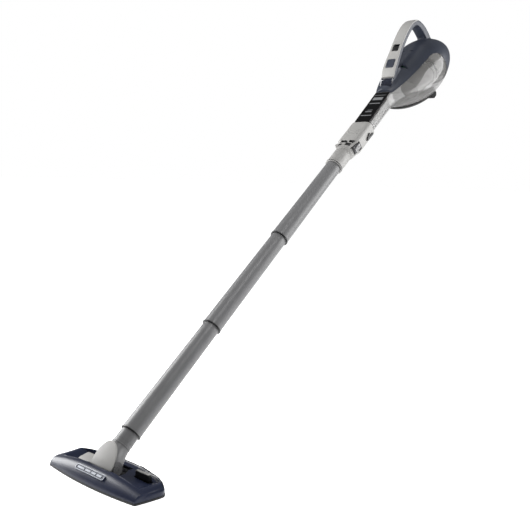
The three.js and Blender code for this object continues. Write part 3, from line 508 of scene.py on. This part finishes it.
def brushes():
    """Each strip is a back with a row of tufts that splay towards the floor."""
    tuft_count, tuft_pitch, first_tuft = 40, 3, -58.5
    tuft_radii = ((5.4, 0.95), (3, 1.05), (0.9, 1.3), (0.35, 1.25))
    for row, y in BRUSH_ROWS.items():
        tufts = []
        for i in range(tuft_count):
            tuft = loft([oval(z, r, r - y, -r - y, count=8) for z, r in tuft_radii])
            tuft.data.transform(Matrix.Translation((first_tuft + i * tuft_pitch, 0, 0)))
            tufts.append(tuft)
        back = block(-60, 60, y - 1.2, y + 1.2, 4.4, 5.5)
        finished(merge(back, *tufts), f"brush_{row}_looks", HEAD, "brushes", [BRISTLE],
                 [f"brush_strip_{row}"])


def wheels():
    """Each wheel has a shallow groove round its middle."""
    half = [(1.5, 4), (2.9, 4), (WHEEL_RADIUS, 3.4), (WHEEL_RADIUS, 1.2), (3.25, 0.9)]
    for side, x in WHEELS.items():
        profile = [(r, x - z) for r, z in half] + [(r, x + z) for r, z in half[::-1]]
        wheel = turned(profile, 40)
        wheel.data.transform(Matrix.Translation((0, -2, WHEEL_RADIUS)) @ Z_TO_X)
        finished(wheel, f"wheel_{side}_looks", HEAD, f"roller_{side}", [RUBBER],
                 [f"wheel_{side}"])


# ---------------------------------------------------------------- neck
BARREL_RADIUS, BARREL_HALF, TRUNNION_HOLE = 12.4, 24.8, 3.9


def arch(thickness, inset, offset):
    """The neck's arched plate: a half ellipse that leans from base to top."""
    base, top = Vector((0, -7, -7)), Vector((0, -18.5, 30))
    along = top - base
    height, half = along.length - inset, 25 - inset
    outline = [(half * math.cos(k / 40 * math.pi),
                height * math.sin(k / 40 * math.pi)) for k in range(41)]
    outline += [(-half, -3), (half, -3)]
    item = prism([(x, y + 3) for x, y in outline], offset - thickness, offset, "z")
    up = along.normalized()
    out = Vector((1, 0, 0)).cross(up)
    turn = Matrix(((1, up.x, out.x), (0, up.y, out.y), (0, up.z, out.z))).to_4x4()
    item.data.transform(Matrix.Translation(base) @ turn)
    return item


def neck_pieces():
    boot = loft([
        oval(-5, 24.8, 9, -11, 6), oval(2, 24.5, 10.6, -11.4, 5.6), oval(8, 24.2, 12, -12, 5),
        oval(14, 22.8, 13.8, -12.8, 4), oval(19, 21, 15.4, -13.6, 3.2),
        oval(24, 18.9, 16.4, -14.2, 2.6), oval(29, 17, 16.6, -14.9, 2.25),
        oval(34, 15.7, 15.8, -15.5), oval(36, 15.5, 15.5, -15.5),
        oval(60, 15.1, 15.1, -15.1), oval(87, 14.9, 14.9, -14.9)])
    join(boot, cross_bar(BARREL_RADIUS, 0, 0, -BARREL_HALF, BARREL_HALF, 32))
    bore = loft([
        oval(-16, 19, 6, -8, 5), oval(8, 20, 8, -9.5, 5), oval(22, 16.5, 12.5, -12.5, 3),
        oval(35, 13, 13, -13), oval(90, 13, 13, -13)])
    cut(boot, bore, arch(60, -3, 57.7))
    for x0, x1 in ((-26, -22.3), (22.3, 26)):
        cut(boot, cross_bar(TRUNNION_HOLE, 0, 0, x0, x1, 32))
    # the faint step round the neck just above the boot
    cut(boot, turned([(15.1, 44), (17, 44), (17, 44.8), (15.1, 44.8)]))
    finished(boot, "neck_boot_looks", WAND, "neck", [NECK_GREY], ["neck_boot"], 40)
    plate = soften(arch(2, 0, 0), 0.5, 3, 40)
    finished(plate, "neck_plate_looks", WAND, "neck", [PALE], ["neck_front_plate"])
    trim = turned([(15.6, 36), (16, 36.3), (16, 37.9), (15.6, 38.2)])
    finished(trim, "neck_ring_looks", WAND, "neck", [WAND_GREY], ["neck_ring"])


# ---------------------------------------------------------------- wand tubes
# Each tube narrows by TUBE_TAPER in one pitch, and its top reaches into the piece above.
RIM_AT, PITCH = 61, 223
TUBE_RADIUS, TUBE_TAPER, TUBE_WALL = 17, 1.85, 1.6
TUBE_REACH = {"lower": 26, "middle": 26, "upper": 20}


def tube(start, end):
    """A tapered tube with a dark rim round its lower end."""
    def radius(z):
        return TUBE_RADIUS - TUBE_TAPER * (z - start) / PITCH

    mouth, tip = radius(start), radius(end)
    outline = [(mouth + 0.1, start), (mouth + 0.75, start + 0.3), (mouth + 0.75, start + 1.7),
               (mouth, start + 2.2)]
    outline += [(radius(start + rise), start + rise) for rise in (12, 60, 120, 200)]
    outline += [(radius(end - 0.8), end - 0.8), (tip - 0.5, end)]
    outline += [(tip - TUBE_WALL, end), (mouth - TUBE_WALL, start)]
    item = turned(outline)
    for face in item.data.polygons:
        c = face.center
        on_rim = c.z < start + 2.1 and math.hypot(c.x, c.y) > mouth - 1.5
        face.material_index = 1 if on_rim else 0
    return item


def tube_pieces():
    for i, (name, reach) in enumerate(TUBE_REACH.items()):
        start = RIM_AT + i * PITCH
        item = tube(start, start + PITCH + reach)
        finished(item, f"tube_{name}_looks", WAND, f"{name}_tube",
                 [WAND_GREY, BLACK], [f"tube_{name}"], 50)


# ---------------------------------------------------------------- adapter
FACE_RIDGES = (806, 812.5, 819)
BUTTON_FROM, BUTTON_TO = 769, 789
BUTTON_GROOVES = (774, 777.3, 780.7, 784)
# hollows under the sleeve's lower edge, where the funnel meets it, painted black as painted shade,
# as (x0, x1, z0, z1)
PAINTED_SHADE_HOLLOWS = ((-13, 2.5, 779, 784), (7, 20.5, 779, 784.5), (3, 19, 768.5, 776.5),
           (-14, -4.5, 767.5, 773.5))


def adapter_section(z, inset):
    return oval(z, 24.2 - inset, 15.6 - inset, -22 + inset, 5, 2.3)


def adapter_sleeve():
    sleeve = loft([
        oval(754, 16.6, 16.6, -16.6), oval(757.5, 16.6, 16.6, -16.6),
        oval(758.6, 17.7, 17.4, -17.6, 2.1), oval(765, 18.8, 16.4, -18.8, 2.5),
        oval(771, 19.8, 15.4, -19.4, 3, 2.3), oval(777, 21, 14.6, -20, 3.6, 2.3),
        oval(781, 22, 14.1, -20.4, 4.2, 2.3),
        adapter_section(782.6, 1.2), adapter_section(783.4, 0.35), adapter_section(785, 0),
        adapter_section(843, 0), adapter_section(846, 0.3), adapter_section(847, 1)])
    join(sleeve, turned([
        (13, 717.3), (17.6, 717.3), (18.2, 717.8), (18.2, 719.6), (17.3, 720.1), (17.35, 735),
        (17.4, 757), (17, 757.6), (13, 757.6)]))
    lug = drill(4.6, -10, -2)
    lug.data.transform(Matrix.Translation((-21.5, 0, 776)) @ Matrix.Rotation(-math.pi / 2, 4, "X"))
    join(sleeve, soften(lug, 0.8, 3, 40))
    bore = loft([oval(716, 15.6, 15.6, -15.6), oval(752, 15.3, 15.3, -15.3),
                 oval(755, 12, 12, -12), oval(792, 12, 12, -12)])
    hollow = loft([adapter_section(787, 2), adapter_section(850, 2)])
    cut(sleeve, bore, hollow, block(15, 40, -8.6, 9.6, BUTTON_FROM - 1.4, BUTTON_TO + 1.4))
    for x0, x1, z0, z1 in PAINTED_SHADE_HOLLOWS:
        cut(sleeve, soften(block(x0, x1, -20, -12.7, z0, z1), 0.6))
    for z in FACE_RIDGES:
        join(sleeve, soften(block(-13.5, 13.5, -16.1, -15, z, z + 2.6), 0.45))
    soften(sleeve, 0.35, 2, 45)
    # painted black as painted shade: the socket's lower rim, the button's pocket and the hollows
    paint(sleeve, 1, (-19, 19), (-19, 19), (717.6, 720))
    paint(sleeve, 1, (14.9, 24.4), (-8.8, 9.8), (767.4, 790.6))
    for x0, x1, z0, z1 in PAINTED_SHADE_HOLLOWS:
        paint(sleeve, 1, (x0 - 0.1, x1 + 0.1), (-15.4, -12.6), (z0 - 0.1, z1 + 0.1))
    finished(sleeve, "adapter_sleeve_looks", WAND, "adapter", [PALE, BLACK],
             ["adapter_sleeve"], 40)


def lock_button():
    button = prism([(17.4, -7.5), (22, -7.5), (25, -4.5), (25, 5.5), (22, 8.5), (17.4, 8.5)],
                   BUTTON_FROM, BUTTON_TO, "z")
    soften(button, 1.4, 4, 25)
    cut(button, *[block(24.2, 26, -3.5, 4.5, z - 0.5, z + 0.5) for z in BUTTON_GROOVES])
    finished(button, "lock_button_looks", WAND, "lock_key", [BUTTON_GREY],
             ["adapter_lock_button"])


def side_clip():
    # the clip is painted black, as painted shade of the slot in the sleeve's side
    clip = prism([(8.6, 813), (9.6, 838), (6, 838), (4.6, 822), (0.4, 829), (-1.4, 827),
                  (4.8, 813)], 12, 26.6, "x")
    cut(clip, loft([adapter_section(782, -0.35), adapter_section(851, -0.35)]))
    soften(clip, 0.45, 2, 35)
    finished(clip, "side_clip_looks", WAND, "adapter", [BLACK], ["adapter_side_clip"])


# ---------------------------------------------------------------- the handheld's two shapes
BULB_FROM, BULB_WIDEST, BULB_TAIL = 951, 1101, 1216
NOSE_RADIUS, BULB_RADIUS = 20, 59
NOSE_WALL, BOWL_WALL, BODY_WALL = 2, 2.2, 2.4
# the seam between bowl and body, towards the handle, and the joint behind the bowl
SEAM, REAR_JOINT = 13, 1121


def bulb_at(z):
    """The bulb's radius at height z, and how far its middle is towards the handle."""
    if z <= BULB_WIDEST:
        along = (max(z, BULB_FROM) - BULB_FROM) / (BULB_WIDEST - BULB_FROM)
        swell = math.sin(along * math.pi / 2) ** 0.7
        return NOSE_RADIUS + (BULB_RADIUS - NOSE_RADIUS) * swell, 3.6 - 29 * swell
    t = min(1, (z - BULB_WIDEST) / (BULB_TAIL - BULB_WIDEST))
    return BULB_RADIUS * max(0, 1 - t ** 1.7) ** (1 / 1.7), -25.4 - 17.4 * t * t


def bulb(inset, count=112):
    """The round part of the bowl and body, from the nose to the tail."""
    front = [BULB_FROM + (BULB_WIDEST - BULB_FROM) * (k / 34) ** 1.5 for k in range(34)]
    # it ends a little short of the tail's point
    rear_length = BULB_TAIL - BULB_WIDEST - 0.4
    rear = [BULB_WIDEST + rear_length * math.sin(k / 30 * math.pi / 2) for k in range(31)]
    rings = []
    for z in front + rear:
        radius, centre = bulb_at(z)
        r = max(0.4, radius - inset)
        depth = z - inset * max(0, z - BULB_WIDEST) / (BULB_TAIL - BULB_WIDEST)
        rings.append(oval(depth, r * 1.03, centre + r, centre - r, count=count))
    return loft(rings)


def nose(inset):
    """The squarish part ahead of the bulb. A smaller one starts 1 mm lower, to cut clear."""
    stations = [(806 - (1 if inset > 0 else 0), 19.8, 12.8, -19.4), (848, 19.8, 13, -19.3),
                (900, 19.8, 15, -19), (940, 20, 17, -20), (959, 20.4, 17, -24)]
    return loft([oval(z, half - inset, up - inset, down + inset, 5, 2.3, 112)
                 for z, half, up, down in stations])


def bowl_space(grow):
    """The space below the seam and ahead of the rear joint, as a prism across the body."""
    seam, rear = SEAM + grow, REAR_JOINT + grow
    corner = [(-seam, rear - 32), (-seam + 3, rear - 8), (-seam + 16, rear - 3),
              (-seam + 26, rear), (-seam + 36, rear)]
    points = [(90, 780), (-seam, 780), corner[0]]
    for a, b, c in (corner[:3], corner[2:]):
        for k in range(1, 9):
            t = k / 8
            points.append(tuple((1 - t) ** 2 * p + 2 * t * (1 - t) * q + t * t * r
                                for p, q, r in zip(a, b, c)))
    points.append((90, rear + 8))
    return prism(points, -95, 95, "x")


def handheld_above(z):
    """A block round the whole handheld above height z."""
    return block(-90, 90, -110, 130, z, 1260)


def body_space(reach, grow):
    """What is left behind the nose when the bowl's space is taken out."""
    return cut(handheld_above(BULB_FROM - reach), bowl_space(grow))


# ---------------------------------------------------------------- dust bowl
LABEL_FROM, LABEL_TO = 849, 949
# plain bars in place of print, as (z0, z1, x0, x1)
LABEL_BARS = ((922, 931, -12.5, 11.5), (909, 911.4, -13, 13.5), (880.5, 883.5, -8.5, 7),
              (886.5, 888, -5, 7), (868, 870.5, -13, 12.5), (938, 939, -14, 13))
NOZZLE_FROM, NOZZLE_TO, NOZZLE_WALL = 812, 932, 1.8


def label_level(z):
    """The label's face, which rises with the nose's upper side."""
    return -(14.4 + 2.8 * (z - LABEL_FROM) / 100)


def dust_bowl():
    bowl = join(nose(0), bulb(0))
    cut(bowl, join(nose(NOSE_WALL), bulb(BOWL_WALL)), body_space(0.5, -0.15))
    cut(bowl, prism([(-12.3, LABEL_FROM), (-14.9, LABEL_TO), (-40, LABEL_TO), (-40, LABEL_FROM)],
                    -17.8, 17.8, "x"))
    finished(bowl, "dust_bowl_looks", WAND, "bowl", [SMOKE], ["dust_bowl"])


def nose_label():
    """A dark film with the bars standing a little proud of it."""
    label = prism([(-12.6, 849.2), (-15.2, 948.8), (-17.2, 948.8), (-14.4, 849.2)],
                  -17.4, 17.4, "x")
    soften(label, 0.5, 3, 40)
    bars = []
    for z0, z1, x0, x1 in LABEL_BARS:
        low, high = label_level(z0), label_level(z1)
        bar = prism([(low + 0.3, z0), (high + 0.3, z1), (high - 0.25, z1), (low - 0.25, z0)],
                    x0, x1, "x")
        bars.append(paint(bar, 1))
    finished(merge(label, *bars), "nose_label_looks", WAND, "bowl", [LABEL, PRINT],
             ["nose_label"])


def under_parts():
    """The skid and the ribbed rest foot, which follow the bulb's underside."""
    plan = [(5, 962), (12, 968), (22, 986), (32, 1020), (35, 1056), (30, 1088), (20, 1095)]
    outline = [tuple(p)[:2] for p in through([(x, z, 0) for x, z in plan], 4)]
    outline += [(-x, z) for x, z in outline[::-1]]
    skid = overlap(bulb(-2.3), prism(outline, 20, 130, "y"))
    cut(skid, bulb(-0.3), nose(-0.3))
    soften(skid, 0.5, 2, 40)
    finished(skid, "under_skid_looks", WAND, "bowl", [SKID_BLACK], ["under_skid"])
    foot = prism([(60, 1099), (98, 1097), (106, 1105), (106, 1116), (100, 1120), (60, 1113)],
                 -14, 14, "x")
    soften(foot, 1.6, 3, 20)
    cut(foot, *[block(x - 0.7, x + 0.7, 104.6, 108, 1090, 1125) for x in (-9, -4.5, 0, 4.5, 9)])
    cut(foot, bulb(-0.3))
    finished(foot, "rest_foot_looks", WAND, "bowl", [RUBBER], ["rest_foot"])


def crevice_nozzle():
    def solid(z0, z1, inset):
        half = 17.1 - inset
        return loft([oval(z0, half, 10 - inset, -16.4 + inset, 5, 2.3),
                     oval(z1, half, 10.4 - inset, -16 + inset, 5, 2.3)])

    nozzle = cut(solid(NOZZLE_FROM, NOZZLE_TO, 0),
                 solid(NOZZLE_FROM - 1, NOZZLE_TO + 1, NOZZLE_WALL))
    soften(nozzle, 0.4, 2, 45)
    finished(nozzle, "crevice_nozzle_looks", WAND, "nozzle", [SMOKE_DARK],
             ["crevice_nozzle"])


# ---------------------------------------------------------------- handle
# the loop's centre line, as (up towards the handle, height)
HANDLE_PATH = [(16, 978), (25, 984), (36, 996), (46, 1016), (55, 1038), (64.5, 1063), (72, 1090),
               (74.8, 1116), (69, 1137), (52, 1150), (32, 1157), (8, 1161)]
SWITCH_AT, BOOST_AT = 1049, 1011


def handle_curve(steps=14):
    """Points, tangents and shares of length along the handle, as a centripetal curve."""
    pts = [Vector((0, -u, z)) for u, z in HANDLE_PATH]
    n = len(pts)
    out = []
    for i in range(n - 1):
        p1, p2 = pts[i], pts[i + 1]
        p0 = pts[i - 1] if i > 0 else p1 - (p2 - p1)
        p3 = pts[i + 2] if i + 2 < n else p2 + (p2 - p1)
        d0, d1, d2 = (p1 - p0).length ** 0.5, (p2 - p1).length ** 0.5, (p3 - p2).length ** 0.5
        t1 = ((p1 - p0) / d0 - (p2 - p0) / (d0 + d1) + (p2 - p1) / d1) * d1
        t2 = ((p2 - p1) / d1 - (p3 - p1) / (d1 + d2) + (p3 - p2) / d2) * d1
        for s in range(steps if i < n - 2 else steps + 1):
            t = s / steps
            point = (2 * t ** 3 - 3 * t * t + 1) * p1 + (t ** 3 - 2 * t * t + t) * t1
            point += (-2 * t ** 3 + 3 * t * t) * p2 + (t ** 3 - t * t) * t2
            slope = ((6 * t * t - 6 * t) * p1 + (3 * t * t - 4 * t + 1) * t1
                     + (6 * t - 6 * t * t) * p2 + (3 * t * t - 2 * t) * t2)
            out.append((point, slope.normalized(), (i + t) / (n - 1)))
    return out


CURVE = handle_curve()


def thickness(t):
    return 11.6 + 6.4 * smoothstep(t, 0.62, 0.95)


def half_width(t):
    """Half the handle's width, which is greatest by the buttons."""
    past_root = smoothstep(t, 0.06, 0.16)
    return (13.3 + 2.9 * past_root * (1 - smoothstep(t, 0.2, 0.42)) + 0.9 * (1 - past_root)
            - 0.9 * smoothstep(t, 0.5, 0.8))


def inner_side(extra=0):
    """The side of the loop that faces the grip opening, moved outwards by extra."""
    return lambda t: -thickness(t) / 2 + extra


def outer_side(extra=0):
    """The side of the loop that faces away from the opening, moved outwards by extra."""
    return lambda t: thickness(t) / 2 + extra


def handle_sweep(t0, t1, low, high, width, power, crown=0.0, count=48):
    """A body swept along the handle between two offsets from its centre line. low, high and
    width are functions of t."""
    rings = []
    for point, along, t in CURVE:
        if not t0 <= t <= t1:
            continue
        out = Vector((0, -along.z, along.y))
        lo, hi, half = low(t), high(t), width(t)
        points = []
        for k in range(count):
            a = k / count * math.tau
            c, sn = math.cos(a), math.sin(a)
            x = half * math.copysign(abs(c) ** (2 / power), c)
            y = (lo + hi) / 2 + (hi - lo) / 2 * math.copysign(abs(sn) ** (2 / power), sn)
            if sn > 0:
                y += crown * (1 - (x / half) ** 2)
            points.append(tuple(point + out * y + Vector((x, 0, 0))))
        rings.append(points)
    return loft(rings)


def on_handle(item, z):
    """Moves an item onto the loop's outer side at height z: y out of it, z along it."""
    rising = [station for station in CURVE if station[2] < 0.7]
    point, along, t = min(rising, key=lambda station: abs(station[0].z - z))
    out = Vector((0, -along.z, along.y))
    turn = Matrix(((-1, out.x, along.x), (0, out.y, along.y), (0, out.z, along.z))).to_4x4()
    item.data.transform(Matrix.Translation(point + out * thickness(t) / 2) @ turn)
    return item


def release_pocket():
    return block(-14.9, 14.9, -60, -16.6, 961.4, 983.4)


# ---------------------------------------------------------------- body
# the screws, as (height, up towards the handle)
BOSSES = [(1100, 24), (1180, -8), (1150, -68), (1116, 74.8)]
SCREW_RADIUS, SHANK_RADIUS, SCREW_WELL_RADIUS = 3, 1.4, 3.4
BODY_HOLLOW_FROM = 986
EXHAUST_SLOTS, SLOT_HALF = (1168, 1175, 1182), 1.4
INLET_RADIUS, INLET_Y = 5.7, 43
# half the gap between the two shells, and the grid of the skin that they are cut from
PARTING, MELT_GRID = 0.12, 1.15


def screw_head(z, up):
    """Where a screw's head sits: on the handle's side, or just inside the bulb's skin."""
    if up > 40:
        return -13.5
    radius, centre = bulb_at(z)
    return -1.03 * math.sqrt(radius ** 2 - (abs(up - centre) + 4) ** 2)


def body_skin():
    """The bulb, the loop and the loop's root, melted together into one skin."""
    outer = join(bulb(0, 128), handle_sweep(0, 1, inner_side(), outer_side(), half_width, 6))
    join(outer, prism([(-12.4, 968), (-24, 971), (-30, 979), (-38, 1002), (-34, 1018),
                       (-12.4, 1012)], -15.1, 15.1, "x"))
    melt = outer.modifiers.new("melt", "REMESH")
    melt.mode = "VOXEL"
    melt.voxel_size = MELT_GRID
    smooth = outer.modifiers.new("smooth", "SMOOTH")
    smooth.iterations = 7
    smooth.factor = 0.5
    return settle(outer)


def body_shells():
    outer = overlap(body_skin(), body_space(0.2, 0.15))
    cut(outer, overlap(bulb(BODY_WALL, 64), handheld_above(BODY_HOLLOW_FROM)))
    cut(outer, handle_sweep(0.24, 0.93, inner_side(2.2), outer_side(-4.6), lambda t: 11.2, 6))
    # the strip's bed, the latch's pocket and the two buttons' wells
    cut(outer, handle_sweep(0.096, 0.744, outer_side(-2.6), outer_side(12),
                            lambda t: half_width(t) - 0.2, 30))
    cut(outer, release_pocket(),
        on_handle(block(-8, 8, -5.2, 3, -9.4, 9.4), SWITCH_AT),
        on_handle(block(-10.2, 10.2, -5.6, 3, -10.8, 10.8), BOOST_AT))
    # the exhaust slots and the charging inlet
    cut(outer, *[soften(block(-20, 20, 50, 110, z - SLOT_HALF, z + SLOT_HALF), 0.6)
                 for z in EXHAUST_SLOTS])
    cut(outer, drill(INLET_RADIUS, 1190, 1230, 0, INLET_Y))
    # a small three-sided vent and a slot beside the handle, on both sides
    for side in (-1, 1):
        cut(outer, prism([(-22.5, 1022), (-34, 1025), (-34, 1036), (-31, 1037)],
                         *sorted((side * 9, side * 26)), "x"))
        cut(outer, block(*sorted((side * 6, side * 21)), -40, -31.2, 1082.6, 1084.6))
    left = outer.copy()
    left.data = outer.data.copy()
    bpy.context.collection.objects.link(left)
    for half, side, name in ((left, 1, "left"), (outer, -1, "right")):
        overlap(half, block(*sorted((side * PARTING, side * 95)), -130, 130, 900, 1300))
        if name == "right":
            for z, up in BOSSES:
                cut(half, cross_bar(SCREW_WELL_RADIUS, z, up, -90, screw_head(z, up) + 3))
        finished(half, f"body_shell_{name}_looks", WAND, "main_body", [NAVY],
                 [f"body_shell_{name}"], 34)


def body_screws():
    for k, (z, up) in enumerate(BOSSES):
        head = screw_head(z, up)
        screw = cross_bar(SCREW_RADIUS, z, up, head + 0.6, head + 2.6)
        join(screw, cross_bar(SHANK_RADIUS, z, up, head + 2, 10, 16))
        for turn in (0, math.pi / 2):
            slot = block(head, head + 1.4, -2, 2, -0.45, 0.45)
            slot.data.transform(Matrix.Translation((0, -up, z)) @ Matrix.Rotation(turn, 4, "X"))
            cut(screw, slot)
        soften(screw, 0.25, 2, 50)
        finished(screw, f"body_screw_{k + 1}_looks", WAND, "main_body", [STEEL],
                 [f"body_screw_{k + 1}"])


# ---------------------------------------------------------------- strip and controls
def handle_strip():
    strip = handle_sweep(0.1, 0.74, outer_side(-2.4), outer_side(0.1),
                         lambda t: half_width(t) - 0.45, 9, 0.5, 64)
    cut(strip, on_handle(prism(rounded(8, 9.4, 2.2), -6, 6, "y"), SWITCH_AT),
        on_handle(prism(rounded(10.2, 10.8, 3.8), -6, 6, "y"), BOOST_AT), release_pocket())
    soften(strip, 0.4, 2, 40)
    finished(strip, "handle_strip_looks", WAND, "main_body", [PALE],
             ["handle_strip"], 40)


def power_switch():
    """The sliding switch has four finger ridges."""
    switch = prism(rounded(7.6, 6, 1.8, (0, -3)), -4.6, 0.4, "y")
    soften(switch, 0.5, 3, 40)
    for z in (-7, -4.4, -1.8, 0.8):
        join(switch, soften(block(-6.4, 6.4, -0.4, 1.4, z - 0.65, z + 0.65), 0.4))
    finished(on_handle(switch, SWITCH_AT), "power_switch_looks", WAND, "power_slider",
             [BLACK], ["power_switch"])


def boost_button():
    """The boost button is dished."""
    boost = soften(prism(rounded(9.8, 10.4, 3.6), -3.6, 1.1, "y"), 0.8, 3, 40)
    cut(boost, prism(rounded(6.8, 7.4, 2.8), 0.75, 3, "y"))
    finished(on_handle(boost, BOOST_AT), "boost_button_looks", WAND, "boost_key", [NAVY],
             ["boost_button"])


def bowl_release():
    """The latch has three grooves across its sloping face."""
    latch = prism([(-17, 963), (-17, 980.5), (-31.4, 980.5), (-32, 979.6), (-32, 978.2),
                   (-29.8, 974.5), (-19.6, 963.4)], -14.4, 14.4, "x")
    soften(latch, 0.9, 3, 25)
    for k in range(3):
        groove = block(-9, 9, -30.6 + 2.6 * k, -29.6 + 2.6 * k, 960, 975 - 2.8 * k)
        cut(latch, soften(groove, 0.2, 1))
    finished(latch, "bowl_release_looks", WAND, "release_latch", [LATCH], ["bowl_release"])


# ---------------------------------------------------------------- kept CAD nodes
# a node takes the material of the longest name that it starts with
INNER_MATERIALS = {
    "sole_screw": STEEL, "suction_duct": BLACK, "pivot_bearing": NECK_GREY, "wheel_axle": STEEL,
    "pedal_rocker": BLACK, "brush_carriage": BLACK, "trunnion": NECK_GREY, "inlet_flap": RUBBER,
    "bulkhead": MID, "bulkhead_gasket": RUBBER, "filter_frame": MID, "prefilter_cup": CLOTH,
    "pleated_filter": CLOTH, "motor_can": STEEL, "motor_mount": RUBBER, "motor_shaft": STEEL,
    "fan_impeller": BLACK, "battery_cell": CELL, "battery_holder": BLACK, "circuit_board": BOARD,
    "charge_socket": BLACK,
}


def dress_cad():
    for name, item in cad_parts.items():
        matches = [start for start in INNER_MATERIALS if name.startswith(start)]
        if item.hide_render or not matches:
            continue
        for slot in item.material_slots:
            slot.material = INNER_MATERIALS[max(matches, key=len)]


# ---------------------------------------------------------------- studio
FLOOR_HALF, FLOOR_AT = 40.0, -0.0004


def world_light():
    """White where the camera looks past the floor, and a weak cool fill on the vacuum."""
    world = bpy.data.worlds.new("studio")
    bpy.context.scene.world = world
    world.use_nodes = True
    nodes, links = world.node_tree.nodes, world.node_tree.links
    seen = nodes["Background"]
    seen.inputs["Color"].default_value = (1, 1, 1, 1)
    seen.inputs["Strength"].default_value = 1.0
    fill = nodes.new("ShaderNodeBackground")
    fill.inputs["Color"].default_value = (0.98, 0.99, 1, 1)
    fill.inputs["Strength"].default_value = 0.17
    path = nodes.new("ShaderNodeLightPath")
    mix = nodes.new("ShaderNodeMixShader")
    links.new(path.outputs["Is Camera Ray"], mix.inputs["Fac"])
    links.new(fill.outputs["Background"], mix.inputs[1])
    links.new(seen.outputs["Background"], mix.inputs[2])
    links.new(mix.outputs["Shader"], nodes["World Output"].inputs["Surface"])


def studio_floor():
    """A plain pale floor that glows a little, so that it stays near white."""
    corners = ((-1, -1), (1, -1), (1, 1), (-1, 1))
    floor = raw([(FLOOR_HALF * a, FLOOR_HALF * b, FLOOR_AT) for a, b in corners], [(0, 1, 2, 3)])
    floor.name = "studio_floor"
    paper = moulded("paper_white", (0.93, 0.93, 0.93, 1), 0.9, grain=60, bump=0.0, spread=0.005)
    glow = paper.node_tree.nodes["Principled BSDF"]
    glow.inputs["Emission Color"].default_value = (1, 1, 1, 1)
    glow.inputs["Emission Strength"].default_value = 0.78
    floor.data.materials.append(paper)


def aimed(name, data, place, target):
    """Adds a light at place that points to target."""
    item = bpy.data.objects.new(name, data)
    item.location = place
    item.rotation_euler = (Vector(target) - Vector(place)).to_track_quat("-Z", "Y").to_euler()
    bpy.context.collection.objects.link(item)


def lamp(name, place, target, size_x, size_y, power):
    data = bpy.data.lights.new(name, "AREA")
    data.shape = "RECTANGLE"
    data.size, data.size_y, data.energy = size_x, size_y, power
    aimed(name, data, place, target)


def studio():
    bpy.context.scene.view_settings.view_transform = "Standard"
    world_light()
    studio_floor()
    lamp("rim_box", (-1.45, -0.15, 0.75), (0, 0.45, 0.4), 0.7, 1.8, 50)
    lamp("side_box", (1.0, 1.75, 0.85), (0, 0.75, 0.65), 1.0, 1.2, 26)
    lamp("key_box", (0.75, 0.1, 1.65), (0, 0.7, 0.75), 0.6, 0.6, 10)
    sky = bpy.data.lights.new("soft_sky", "SUN")
    sky.energy = 0.65
    sky.angle = math.radians(50)
    aimed("soft_sky", sky, (0, 0, 0), (0.25, 0.1, -1))


make_camera()

head_shell()
front_plaque()
head_sole()
pedals()
brushes()
wheels()
neck_pieces()
tube_pieces()
adapter_sleeve()
lock_button()
side_clip()
dust_bowl()
nose_label()
under_parts()
crevice_nozzle()
body_shells()
body_screws()
handle_strip()
power_switch()
boost_button()
bowl_release()
dress_cad()
studio()
